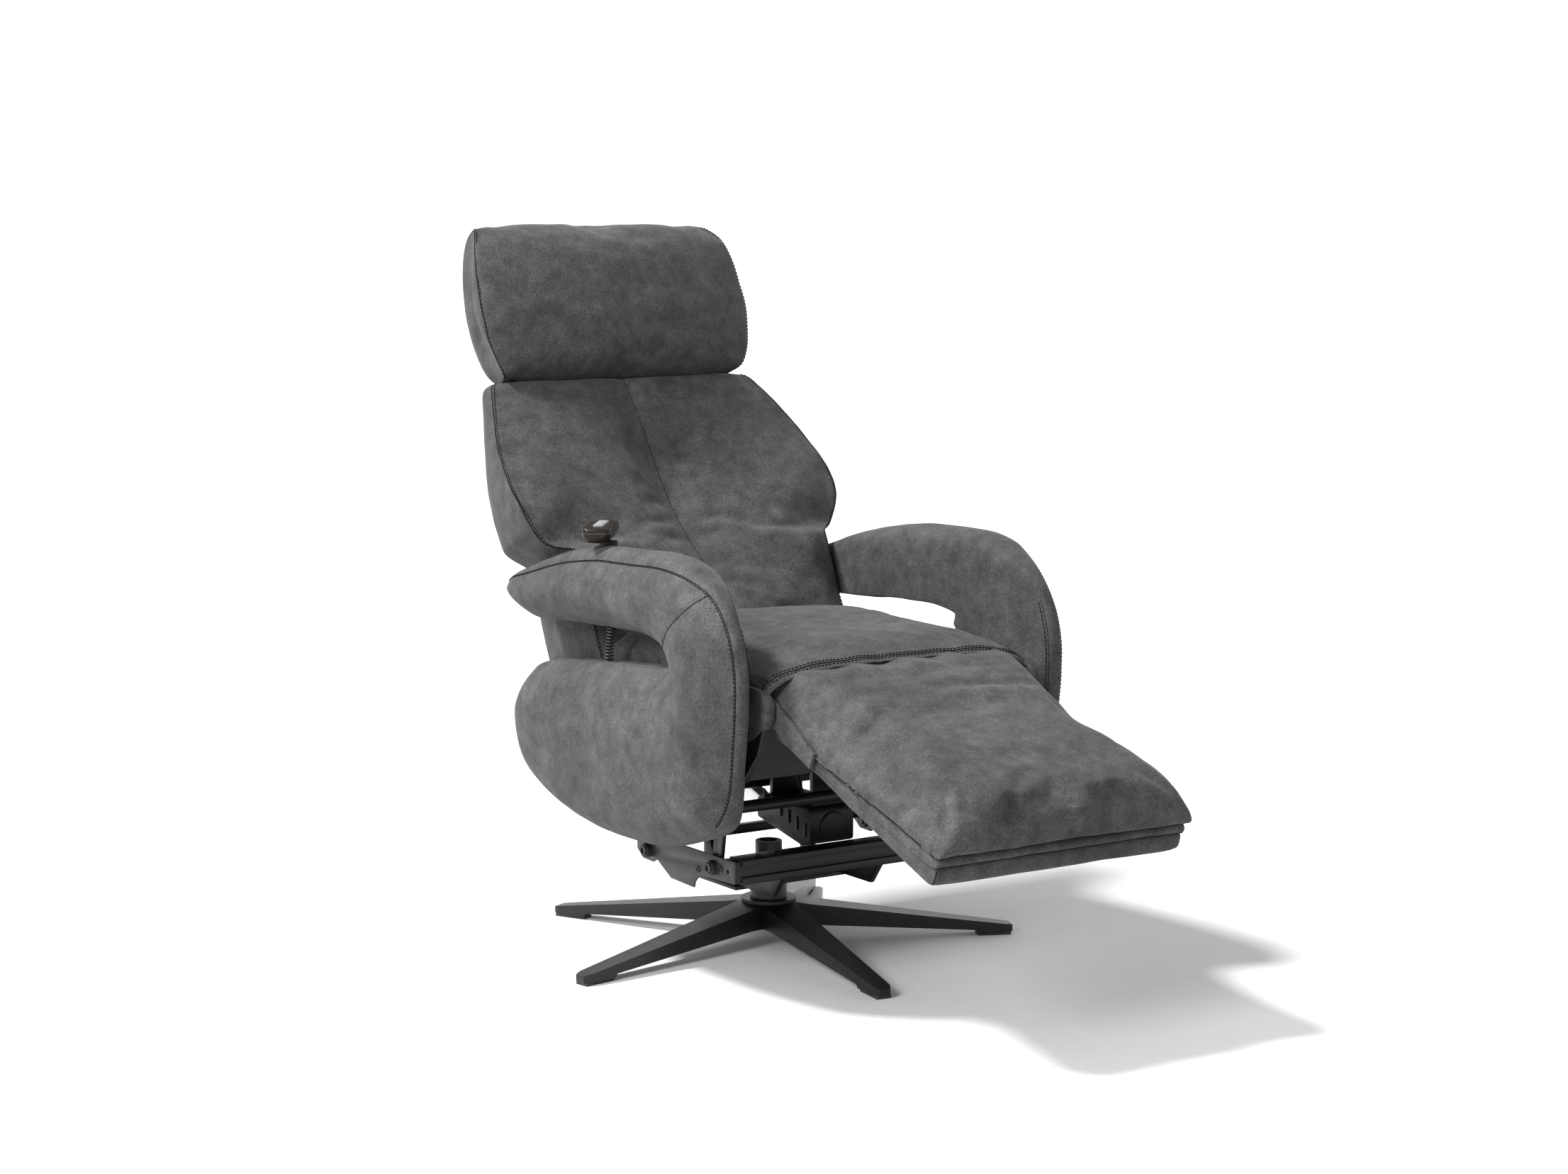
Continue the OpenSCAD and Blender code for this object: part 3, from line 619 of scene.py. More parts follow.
def arm_finish(o, s, outer, inner, F, node):
    X = s * 0.322
    diag = [(s * .289, -.289, .590), (X, -.262, .560), (X, -.232, .530), (X, -.206, .503), (s * .290, -.186, .488)]
    subdivide(o)
    wavy(o, 0.11, 0.0022, 1 + s)
    wavy(o, 0.035, 0.0007, 5 + s)
    for ln, w, d in (
        ([(X, -.135, .520), (X, -.165, .545), (X, -.205, .575)], .020, .0016),
        ([(X, -.198, .470), (X, -.214, .440), (X, -.222, .400)], .026, .0012),
        ([(X, -.205, .478), (X, -.230, .462), (X, -.258, .440)], .018, .0008),
        ([(X, -.080, .524), (X, -.040, .548), (X, .010, .562)], .016, .0012),
        ([(X, .150, .512), (X, .120, .540), (X, .105, .575)], .014, .0012),
    ):
        crease(o, ln, w, d)
    crease(o, diag, 0.0035, 0.0012)
    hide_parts(node)
    dress(o, "seat")
    # the sewn edge runs from the rear tip over the top and down the front
    y, z = outer[:, 1], outer[:, 2]
    k = np.where((z > 0.545) | ((y < -0.30) & (z > 0.262)))[0]
    jump = np.where(np.diff(k) > 1)[0]
    if len(jump):
        k = np.concatenate([k[jump[0] + 1:], k[:jump[0] + 1]])
    run = resample(outer[k], 0.004, False)
    seam(node + "_seam", o, run, "seat", radius=0.0008, sink=0.0002, thread=[run + np.array([s * 0.0035, 0, 0])],
        pitch=0.0058)
    k = np.where(F > 0.93)[0]
    k = k[np.argsort(-inner[k, 2])]
    ln = resample(inner[k], 0.004, False)
    seam(node + "_inner_seam", o, ln, "seat", radius=0.0008, thread=[ln + np.array([-s * 0.003, 0.0035, 0])])
    seam(node + "_panel_seam", o, resample(np.array(diag), 0.004, False), "seat", radius=0.0008, sink=0.0001)
    seam(node + "_band_seam", o, resample(np.array([(s * x, -.358, .402) for x in (.283, .278, .272, .266, .262)]),
        0.003, False), "seat", radius=0.0007)


for s, node in ((1, "armrest_left"), (-1, "armrest_right")):
    o, outer, inner, F = armrest(s, node)
    arm_finish(o, s, outer, inner, F, node)


# --------------------------------------------------- back cushion and headrest
c22, s22 = math.cos(math.radians(22)), math.sin(math.radians(22))


def PB(x, yp, zp):
    return (x, 0.140 + yp * c22 + zp * s22, 0.395 - yp * s22 + zp * c22)


def back_cover():
    zc = [8, 60, 82, 120, 165, 210, 250, 290, 329, 380, 432, 480, 521, 530]
    yc = [-80, -84, -76, -58, -34, -6, 18, 34, 46, 58, 70, 84, 97, 100]
    zs = [8, 60, 115, 150, 185, 205, 214, 220, 227, 240, 258, 278, 300, 327, 362, 400, 432, 462, 490, 515, 530]
    xs = [224, 228, 229, 229, 229, 231, 237, 254, 264, 273, 282, 289, 293, 295, 291, 284, 274, 263, 252, 242, 237]
    ys = [-40, -44, -43, -44, -46, -42, -30, -14, -8, -6, -8, -8, -3, 8, 26, 44, 59, 73, 87, 99, 104]
    zg = [8, 74, 226, 238, 250, 300, 345, 430, 518, 530]
    xg = [218, 222, 226, 246, 262, 270, 271, 257, 237, 232]
    yg = [124, 126, 128, 129, 129, 128, 129, 135, 140, 141]
    Z = list(np.arange(10, 205, 8.5)) + [206, 211, 215.5, 220, 225, 230.5, 237,
        244] + list(np.arange(252, 512, 8.5)) + [514, 520, 524]
    rows = []
    nf, ng, nr = 44, 7, 26
    for z in Z:
        C, X, Y = np.interp(z, zc, yc), np.interp(z, zs, xs), np.interp(z, zs, ys)
        GX, GY = np.interp(z, zg, xg), np.interp(z, zg, yg)
        shrink = 0 if z < 511 else {514: 1, 520: 4, 524: 11}[z]
        X, GX, C, Y, GY = X - shrink, GX - shrink, C + shrink * 0.8, Y + shrink * 0.8, GY - shrink * 0.6
        bulge = np.interp(z, [200, 245, 500], [1.0, 6.0, 6.0])
        row = []
        for k in range(nf + 1):
            u = -1 + 2 * k / nf
            a = abs(u)
            e = max(0, (a - 0.80) / 0.20)
            e = e * e * (3 - 2 * e)
            b = 11.0
            g = a ** 1.9
            y = C + (Y - b - C) * g + b * e ** 1.3
            y += 5.0 * math.exp(-(a / 0.035) ** 2) - 2.5 * math.exp(-((a - 0.20) / 0.16) ** 2)
            row.append((u * X, y))
        for k in range(1, ng + 1):
            t = k / (ng + 1)
            bow = math.sin(math.pi * t)
            row.append((X + (GX - X) * t + bulge * bow, Y + (GY - Y) * t))
        for k in range(nr + 1):
            u = 1 - 2 * k / nr
            row.append((u * GX, GY + (14 if z < 500 else 8) * (1 - abs(u) ** 26)))
        for k in range(ng, 0, -1):
            t = k / (ng + 1)
            bow = math.sin(math.pi * t)
            row.append((-(X + (GX - X) * t + bulge * bow), Y + (GY - Y) * t))
        rows.append([PB(x / 1000, y / 1000, z / 1000) for x, y in row])
    verts, faces = loft(rows)
    o = add("back_cushion_cover", verts, faces, LEATHER)
    recalc(o)
    C = nf + 1 + ng + nr + 1 + ng
    pin = np.zeros(len(verts))
    for i in range(len(rows)):
        for k in range(C):
            col = min(abs(k - 0), abs(k - nf), abs(k - nf / 2))
            v = 1.0 if col < 0.6 else 0.25 if col < 1.6 else 0.0
            if k > nf + ng or i < 3 or i > len(rows) - 3:
                v = 1.0
            if nf < k <= nf + ng:
                v = max(v, 0.3)
            pin[i * C + k] = v
    pin[len(rows) * C:] = 1
    cloth(o, pin, pressure=2.2, shrink=-0.012, cap=0.013)
    left = [rows[i][0] for i in range(len(rows))]
    right = [rows[i][nf] for i in range(len(rows))]
    centre = [rows[i][nf // 2] for i in range(len(rows))]
    rl = [rows[i][nf + ng + 1] for i in range(len(rows))]
    rr = [rows[i][nf + ng + 1 + nr] for i in range(len(rows))]
    subdivide(o)
    return o, [np.array(v) for v in (left, right, centre, rl, rr)]


back, (bl, br, bc, bgl, bgr) = back_cover()
wavy(back, 0.16, 0.003, 3)
wavy(back, 0.05, 0.0010, 4)
for x0, z0, x1, z1, w, d in (
    (0, 118, 90, 96, 9, 2.4), (0, 150, 110, 128, 11, 2.2), (0, 95, -100, 78, 10, 2.2), (0, 132, -120, 120, 12, 2.2),
    (0, 185, 85, 190, 11, 1.6), (0, 172, -90, 196, 11, 1.6), (0, 262, 60, 276, 9, 1.2), (0, 232, -70, 244, 10, 1.2),
    (205, 240, 120, 205, 18, 1.5), (-205, 240, -120, 205, 18, 1.5), (215, 215, 140, 150, 18, 1.3),
        (-215, 215, -140, 150, 18, 1.3),
    (190, 80, 70, 52, 14, 1.6), (-190, 80, -70, 52, 14, 1.6), (210, 128, 120, 84, 14, 1.4),
        (-210, 128, -120, 84, 14, 1.4),
    (235, 300, 200, 262, 10, 1.6), (-235, 300, -200, 262, 10, 1.6),
):
    tree = surface(back)
    pts = [PB((x0 + (x1 - x0) * t) / 1000, -0.10,
        (z0 + (z1 - z0) * t + 5 * math.sin(math.pi * t)) / 1000) for t in np.linspace(0, 1, 7)]
    crease(back, [np.array(tree.ray_cast(Vector(p) - Vector((0, 0.2, 0)), Vector((0, 1, 0)))[0] or p) for p in pts],
        w / 1000, d / 1000)
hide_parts("back_cushion")
dress(back, "backrest")


def beside(line, dx):
    return np.array(line) + np.array([dx, 0, 0])


for nm, ln, sg in (("back_seam_left", bl, 1), ("back_seam_right", br, -1)):
    L = resample(ln, 0.005, False)
    seam(nm, back, L, "backrest", thread=[beside(L, 0.005 * sg)])
seam("back_centre_seam", back, resample(bc, 0.005, False), "backrest", radius=0.0009)
for nm, ln in (("back_rear_seam_left", bgl), ("back_rear_seam_right", bgr)):
    seam(nm, back, resample(ln, 0.006, False), "backrest")


def headrest_cover():
    # ring in (yp, zp, x at the side seam, forward crown, outward crown)
    ring = [(100, 528, 216, 4, 3), (88, 532, 224, 12, 4), (82, 545, 231, 20, 4), (79, 565, 238, 25, 3),
        (78, 590, 243, 27, 0),
            (75, 615, 245, 28, 0), (75, 640, 246, 28, 0), (75, 670, 245, 27, 0), (75, 700, 243, 26, 0),
                (77, 725, 239, 23, 2), (81, 748, 233, 18, 4),
            (90, 766, 225, 11, 7), (105, 779, 215, 3, 9), (128, 784, 208, -2, 8), (150, 780, 206, -3, 6),
                (166, 766, 206, -3, 2),
            (173, 740, 210, -3, 0), (174, 700, 216, -3, 0), (173, 650, 220, -3, 0), (170, 600, 219, -3, 0),
                (163, 560, 214, -3, 0), (150, 537, 209, -3, 0),
            (130, 528, 208, 0, 3)]
    P = catmull(np.array(ring, float) / 1000, 0.0085)
    n = len(P)
    S = [-1, -.985, -.955, -.91, -.86, -.80, -.74, -.67, -.60, -.52, -.44, -.36, -.27, -.18, -.09, 0]
    S = S + [-v for v in S[-2::-1]]
    rows = []
    for s in S:
        w = (1 - abs(s) ** 3.2) ** 0.62
        row = []
        for yp, zp, xs, fw, up in P:
            row.append(PB(s * xs, yp - fw * w, zp + (up * w if zp > 0.65 else -up * w)))
        rows.append(row)
    verts, faces = loft(rows)
    verts = [np.array(v, float) for v in verts]
    R, C = len(rows), n
    # the side panels swell outwards a little
    for e, sg in ((0, -1), (1, 1)):
        b = R * C + e * (3 * C + 1)
        for ringk, amt in ((0, 0.0045), (1, 0.0075), (2, 0.009)):
            for k in range(C):
                verts[b + ringk * C + k][0] += sg * amt
        verts[b + 3 * C][0] += sg * 0.0095
    o = add("headrest_cushion_cover", verts, faces, LEATHER)
    recalc(o)
    pin = np.zeros(len(verts))
    pin[:C] = 1
    pin[(R - 1) * C:] = 1
    for i in range(R):
        for k in range(C):
            if P[k][0] > 0.135:
                pin[i * C + k] = 1
            elif P[k][0] > 0.11:
                pin[i * C + k] = 0.4
    cloth(o, pin, pressure=2.0, shrink=-0.010, cap=0.010)
    subdivide(o)
    return o, np.array(rows[0]), np.array(rows[-1])


head, h0, h1 = headrest_cover()
wavy(head, 0.15, 0.0028, 6)
wavy(head, 0.045, 0.0009, 7)
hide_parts("headrest_cushion")
dress(head, "headrest")
for nm, ring, sg in (("headrest_seam_right", h0, 1), ("headrest_seam_left", h1, -1)):
    seam(nm, head, ring, "headrest", closed=True, thread=[ring + np.array([sg * 0.005, 0, 0])])


# --------------------------------------------------------------- seat cushion
def pillow(centre, side, half, S, p, q, bulge=0.0):
    """Rings through x; each ring point runs from its side place to its centre place."""
    rows = []
    for s in S:
        w = max(0.0, 1 - abs(s) ** p) ** q
        pts = side + (centre - side) * w
        x = s * half + math.copysign(bulge, s) * (math.sin(math.pi * min(1, w)) if abs(s) > 0.7 else 0)
        rows.append([(float(x), float(a), float(b)) for a, b in pts])
    return rows


SS = [-1, -.993, -.98, -.962, -.94, -.91, -.875, -.83, -.78, -.72, -.65, -.58, -.50, -.42, -.34, -.26, -.17, -.085, 0]
SS = SS + [-v for v in SS[-2::-1]]


def seat_cover():
    cen = [(98, 440), (99, 470), (96, 490), (75, 499), (30, 503), (-30, 504), (-90, 504), (-150, 503), (-210, 502),
        (-260, 500), (-300, 496), (-328, 491),
           (-344, 487), (-350.5, 483.5), (-349.5, 481), (-335, 483.4), (-311, 478), (-293, 463.5), (-283, 443),
               (-281, 425), (-284, 408), (-284, 390), (-200, 387), (-100, 387), (0, 387), (70, 388), (95, 400)]
    sid = [(92, 430), (92, 440), (90, 452), (72, 462), (30, 466), (-30, 468), (-90, 469), (-150, 469), (-210, 468),
        (-260, 466), (-296, 463), (-316, 460),
           (-333, 456), (-342, 449), (-346, 442), (-338, 444), (-318, 446), (-295, 444), (-284, 438), (-281, 425),
               (-284, 408), (-284, 395), (-200, 392), (-100, 392), (0, 392), (70, 393), (92, 402)]
    a, b = np.array(cen, float) / 1000, np.array(sid, float) / 1000
    both = catmull_pair(a, b, 0.0085)
    rows = pillow(both[:, :2], both[:, 2:], 0.229, SS, 4.2, 0.62)
    verts, faces = loft(rows)
    o = add("seat_cushion_cover", verts, faces, LEATHER)
    recalc(o)
    C = len(both)
    R = len(rows)
    k0 = int(np.argmin(np.linalg.norm(both[:, :2] - np.array([-.350, .483]), axis=1)))
    pin = np.zeros(len(verts))
    for i in range(R):
        for k in range(C):
            y, z = both[k, :2]
            if k > k0 or z < 0.45 or y > 0.085:
                v = 1
            elif abs(k - k0) < 1:
                v = 1
            elif abs(k - k0) < 3:
                v = 0.3
            else:
                v = 0
            pin[i * C + k] = v
    pin[:2 * C] = 1
    pin[(R - 2) * C:] = 1
    cloth(o, pin, pressure=1.6, shrink=-0.010, cap=0.010)
    line = np.array([rows[i][k0] for i in range(R)])
    subdivide(o)
    return o, line


def catmull_pair(a, b, step):
    return catmull(np.hstack([a, b]), step)


seat, seat_line = seat_cover()
wavy(seat, 0.14, 0.0030, 9, weight=lambda c: (c[:, 2] > 0.47) * 1.0)
wavy(seat, 0.045, 0.0010, 10, weight=lambda c: (c[:, 2] > 0.47) * 1.0)
for x0, y0, x1, y1, w, d in ((-190, -60, -90, -30, 16, 2.2), (-210, 30, -110, 40, 16, 2.6),
    (190, -60, 90, -30, 16, 2.2), (210, 30, 110, 40, 16, 2.6),
                             (-200, -280, -110, -262, 14, 2.0), (200, -280, 110, -262, 14, 2.0),
                                 (-60, 70, 80, 66, 18, 2.4)):
    crease(seat, [((x0 + (x1 - x0) * t) / 1000, (y0 + (y1 - y0) * t) / 1000, 0.503) for t in np.linspace(0, 1, 5)],
        w / 1000, d / 1000)
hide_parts("seat_cushion")
dress(seat, "seat")
SL = resample(seat_line[1:-1], 0.005, False)
seam("seat_front_seam", seat, SL + np.array([0, 0.0115, 0.005]), "seat", radius=0.0011, sink=0.0001,
     thread=[SL + np.array([0, 0.0075, 0.003]), SL + np.array([0, 0.0155, 0.007])], pitch=0.0064)
tree = surface(seat)
edge_line, _ = on_surface(tree, SL, -0.0008)
o = tube("seat_front_edge", edge_line, 0.0016, LEATHER, sides=8)
dress(o, "seat")

# -------------------------------------------------------------------- legrest
ca, sa = math.cos(math.radians(23)), math.sin(math.radians(23))


def LG(x, d, n):
    return (x, -0.335 - d * ca - n * sa, 0.430 - d * sa + n * ca)


def leg_seam(d):
    """Height of the pad's lower seam along the legrest, in mm."""
    return float(np.interp(d, [-50, 0, 93, 184, 279, 330, 400, 425], [-10, -20, -13, -3, 8, 13, 19, 21]))


def legrest_cover():
    cen = [(-50, 0), (-46, 22), (-36, 38), (-20, 49), (0, 55), (25, 58), (55, 60), (90, 61), (130, 63), (170, 65),
        (210, 67), (250, 70), (290, 73), (330, 75), (362, 75),
           (390, 71), (410, 62), (421, 52), (425, 41), (423, 30), (415, 23), (400, 19), (360, 14), (320, 8), (280, 4),
               (220, -4), (150, -10), (90, -14), (54, -18), (20, -30), (0, -42), (-25, -38), (-44, -20)]
    ds = [-44, -41, -34, -20, 0, 25, 55, 90, 130, 170, 210, 250, 290, 330, 360, 384, 400, 410, 414, 413, 407, 396, 358,
        320, 280, 220, 150, 90, 54, 20, 0, -25, -40]
    sid = [(d, leg_seam(d) - (1.5 if k > 19 else 0)) for k, d in enumerate(ds)]
    a, b = np.array(cen, float) / 1000, np.array(sid, float) / 1000
    both = catmull_pair(a, b, 0.0085)
    rows = pillow(both[:, :2], both[:, 2:], 0.212, SS, 9.0, 0.50, bulge=0.003)
    rows = [[LG(*p) for p in row] for row in rows]
    verts, faces = loft(rows)
    o = add("legrest_cushion_cover", verts, faces, LEATHER)
    recalc(o)
    R, C = len(rows), len(both)
    top = int(np.argmin(np.linalg.norm(both[:, :2] - np.array([-.036, .038]), axis=1)))
    nose = int(np.argmin(np.linalg.norm(both[:, :2] - np.array([.415, .023]), axis=1)))
    pin = np.ones(len(verts))
    for i in range(2, R - 2):
        for k in range(top + 2, nose - 1):
            pin[i * C + k] = 0.0
        for k in (top + 1, top + 2, nose - 1, nose):
            pin[i * C + k] = 0.5
    cloth(o, pin, pressure=1.4, shrink=-0.022, cap=0.012)
    side0 = np.array([rows[0][k] for k in range(top, nose + 1)])
    side1 = np.array([rows[-1][k] for k in range(top, nose + 1)])
    front = np.array([rows[i][nose] for i in range(R)])
    subdivide(o)
    return o, side0, side1, front


pad, sd0, sd1, fr = legrest_cover()
wavy(pad, 0.12, 0.0022, 12)
wavy(pad, 0.04, 0.0012, 13)
for x0, d0, x1, d1, bow, w, dp in (
    (-204, 50, 170, 44, 6, 14, 3.6), (-40, 98, 172, 118, -8, 11, 4.4), (20, 76, 166, 92, -5, 9, 2.6),
        (-168, 150, 160, 150, 8, 17, 3.0), (-206, 172, -135, 146, 4, 13, 2.6),
    (-120, 84, -20, 78, -6, 12, 2.4), (60, 190, 190, 176, 5, 16, 2.2), (-206, 402, -168, 340, 6, 8, 5.0),
        (-212, 372, -194, 286, 3, 9, 3.4), (-180, 396, -150, 352, 5, 8, 3.0),
    (-22, 331, -104, 404, -9, 10, 4.6), (-4, 352, -38, 396, 3, 8, 3.0), (74, 346, 42, 398, 4, 9, 3.0),
        (176, 404, 140, 356, 5, 8, 3.6), (203, 400, 186, 332, 4, 8, 3.4),
    (122, 408, 98, 366, 4, 9, 2.6), (-140, 404, -128, 370, 3, 8, 2.4), (-100, 300, 20, 286, 8, 18, 2.2),
        (60, 286, 150, 300, 8, 16, 1.8),
):
    tree = surface(pad)
    pts = []
    for t in np.linspace(0, 1, 9):
        x, d = x0 + (x1 - x0) * t, d0 + (d1 - d0) * t + bow * math.sin(math.pi * t)
        hit = tree.ray_cast(Vector(LG(x / 1000, d / 1000, 0.2)), Vector((0, sa, -ca)))[0]
        pts.append(np.array(hit or LG(x / 1000, d / 1000, 0.06)))
    crease(pad, pts, w / 1000, dp / 1000)
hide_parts("legrest_cushion")
dress(pad, "legrest")
for nm, ln in (("legrest_seam_right", sd0), ("legrest_seam_left", sd1)):
    seam(nm, pad, resample(ln[4:], 0.005, False), "legrest", radius=0.0012)
seam("legrest_front_seam", pad, resample(fr, 0.005, False), "legrest", radius=0.0012)


def leg_layer(name, ring, half, ease, sag, node=None):
    """A flat upholstered layer of the legrest with soft edges."""
    rows = []
    P = catmull(np.array(ring, float) / 1000, 0.009)
    c = P.mean(0)
    for x in (-1, -.992, -.975, -.94, -.88, -.8, -.7, -.58, -.45, -.3, -.15, 0, .15, .3, .45, .58, .7, .8, .88, .94,
        .975, .992, 1):
        w = (1 - abs(x) ** 40) ** 0.5
        row = []
        for d, n in P:
            e = (1 - w) * ease
            dd = d - e if d > 0.3 else d
            nn = n + (e if n < c[1] else -e)
            row.append(LG(x * half, dd - sag * (1 - x * x) * (1 if d > 0.38 else 0), nn))
        rows.append(row)
    verts, faces = loft(rows)
    o = add(name, verts, faces, LEATHER)
    recalc(o)
    subdivide(o)
    if node:
        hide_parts(node)
    dress(o, "legrest")
    return o


def leg_band():
    """Upholstered underside of the legrest, a thin edge roll and a band with soft edges."""
    roll = leg_layer("legrest_edge_roll", [(8, -27), (52, -18), (100, -9), (184, 0), (279, 10), (340, 15), (396, 20),
        (409, 20), (416, 16), (418, 11), (415, 6), (405, 4),
                                           (340, 0), (279, -3), (184, -7), (100, -15), (52, -22), (8, -31)], 0.2105,
                                               0.006, 0.0)
    wavy(roll, 0.05, 0.0012, 14)
    o = leg_layer("legrest_band_cover", [(8, -24), (52, -14), (100, -8), (200, -5), (300, -3), (395, 4), (408, 5),
        (413, 3), (415, -5), (415.5, -14), (414, -22), (409, -26), (395, -27.5),
                                         (300, -30), (200, -32), (110, -34), (60, -36), (24, -40), (10, -38)], 0.2085,
                                             0.003, 0.0, "legrest_board")
    wavy(o, 0.05, 0.0012, 15)
    edge = [LG(x, .4135, .0045) for x in np.linspace(-.206, .206, 40)]
    seam("legrest_edge_seam", roll, edge, "legrest", radius=0.0011, sink=-0.0002)
    for s in (-1, 1):
        ln = [LG(s * .2075, .4125, n) for n in np.linspace(.002, -.026, 7)]
        seam("legrest_corner_seam_%s" % ("left" if s > 0 else "right"), o, ln, "legrest", radius=0.0010)
        arc = [(-16 * math.sin(t), 16 * math.cos(t)) for t in np.linspace(0, math.pi, 13)[1:-1]]
        loop = [(54, 10), (120, 0), (120, -24), (54, -24), (0, -16)] + [(x, y) for x, y in arc[::-1]] + [(0, 16)]
        v, f = [], []
        n = len(loop)
        for x in (.2135, .2195):
            v += [LG(s * x, d / 1000, m / 1000) for d, m in loop]
        f = [tuple(range(n)), tuple(range(n, 2 * n))[::-1]] + [(i, (i + 1) % n, n + (i + 1) % n,
            n + i) for i in range(n)]
        e = add("legrest_hinge_plate_%s" % ("left" if s > 0 else "right"), v, f, LEATHER, smooth=False)
        recalc(e)
        m = e.modifiers.new("b", "BEVEL")
        m.width, m.segments = 0.001, 2
        apply(e)
        sharp(e)
        dress(e, "legrest")
    return o


leg_band()

# ------------------------------------------------------------------- hardware
RIDES = {
    "base": ["star_base", "column_tube", "swivel_ring"],
    "carriage": ["swivel_spindle", "swivel_plate", "side_plate_left", "side_plate_right", "front_cross_tube",
        "rear_cross_bar", "beam_left", "beam_right"],
    "front_link": ["front_link_left", "front_link_right", "front_link_tube"],
    "rear_link": ["rear_link_left", "rear_link_right", "rear_link_tube"],
    "seat": ["seat_frame", "control_box", "back_motor", "back_rail", "leg_motor"],
    "backrest": ["back_lever_arm"],
    "back_slider": ["back_slider"],
    "leg_rod": ["leg_rod"],
    "legrest": ["legrest_lever_arm"],
}
LOOK = {
    "star_base": (PAINT, 0.0022, "painted_base"), "column_tube": (PAINT, 0.0012, "painted_base"),
        "swivel_ring": (BLACK, 0.001, "black_steel"),
    "swivel_spindle": (GREY, 0.001, "grey_steel"), "side_plate_left": (GREY, 0.0008, "grey_steel"),
        "side_plate_right": (GREY, 0.0008, "grey_steel"),
    "back_rail": (ALU, 0.0012, "aluminium_rail"), "control_box": (PLASTIC, 0.002, "black_plastic"),
        "back_motor": (PLASTIC, 0.004, "black_plastic"),
    "leg_motor": (PLASTIC, 0.003, "black_plastic"), "back_slider": (BLACK, 0.0008, "black_steel"),
        "leg_rod": (ZINC, 0.0006, "zinc_steel"),
}
for body, names in RIDES.items():
    for nm in names:
        mat, w, slot_name = LOOK.get(nm, (BLACK, 0.001, "black_steel"))
        rounded(nm, mat, body, w)
CARRY = {"spring_mat": WEB, "back_frame": WOOD, "headrest_bracket": BLACK, "handset_stem": PLASTIC}
for nm, mat in CARRY.items():
    o = N[nm]
    if not o.material_slots:
        o.data.materials.append(mat)
    for sl in o.material_slots:
        sl.link = "OBJECT"
        sl.material = mat
for k in range(1, 6):
    for sl in N["glide_%d" % k].material_slots:
        sl.link = "OBJECT"
        sl.material = RUBBER
for nm in ("rear_bolt_left", "rear_bolt_right", "front_bolt_left", "front_bolt_right"):
    for sl in N[nm].material_slots:
        sl.link = "OBJECT"
        sl.material = GREY

# --------------------------------------------------- small mechanism details
def bolt(name, p, out, r, body, depth=0.003):
    """Socket head: a rim, a hexagonal recess and a washer."""
    p, out = np.array(p, float), np.array(out, float)
    cyl(name + "_washer", p - out * 0.0004, p + out * 0.0010, r * 1.28, GREY, body, 36, 0.0003)
    u = np.cross(out, [0.2, 0.4, 0.9])
    u /= np.linalg.norm(u)
    v = np.cross(out, u)

    def ring(rr, h, hexed=False):
        pts = []
        for k in range(36):
            a = 2 * math.pi * k / 36
            q = rr / max(math.cos((a % (math.pi / 3)) - math.pi / 6), 0.5) * 0.866 if hexed else rr
            pts.append(p + out * h + q * (math.cos(a) * u + math.sin(a) * v))
        return pts
    rows = [ring(r, 0.0008), ring(r, depth - 0.0005), ring(r * 0.92, depth), ring(r * 0.58, depth),
        ring(r * 0.52, depth - 0.0003, True), ring(r * 0.52, depth - 0.0022, True), ring(r * 0.2, depth - 0.0026)]
    V, Fc = loft(rows, caps=False)
    Fc.append(tuple(range(36))[::-1])
    Fc.append(tuple(6 * 36 + k for k in range(36)))
    o = add(name, V, Fc, BLACK)
    recalc(o)
    sharp(o, 30)
    dress(o, body)


for s in (-1, 1):
    side = "left" if s > 0 else "right"
    for nm, y, z in (("front_bolt_head_", -.158, .170), ("rear_bolt_head_", .024, .163)):
        bolt(nm + side, (s * .207, y, z), (s, 0, 0), 0.0085, "carriage")
    bolt("plate_bolt_a_" + side, (s * .200, -.180, .172), (s, 0, 0), 0.0045, "carriage", 0.0022)
    bolt("plate_bolt_b_" + side, (s * .200, -.118, .160), (s, 0, 0), 0.0045, "carriage", 0.0022)


def prism(name, profile, x0, x1, mat, body, bevel=0.0008):
    """A [y, z] outline in mm given a thickness from x0 to x1."""
    n = len(profile)
    V = [(x, y / 1000, z / 1000) for x in (x0, x1) for y, z in profile]
    Fc = [tuple(range(n)), tuple(range(n, 2 * n))[::-1]] + [(i, (i + 1) % n, n + (i + 1) % n, n + i) for i in range(n)]
    o = add(name, V, Fc, mat, smooth=False)
    recalc(o)
    m = o.modifiers.new("b", "BEVEL")
    m.width, m.segments, m.limit_method = bevel, 2, "ANGLE"
    apply(o)
    sharp(o)
    dress(o, body)
    return o


# upholstered ends beside the seat's front corners
for s in (-1, 1):
    o = prism("seat_corner_cover_%s" % ("left" if s > 0 else "right"), [(-240, 454), (-300, 459), (-330, 458), (-348,
        451), (-358, 438), (-357, 420), (-346, 404), (-322, 386), (-292, 374), (-240, 372)],
              s * .2222, s * .2368, LEATHER, "seat", 0.003)

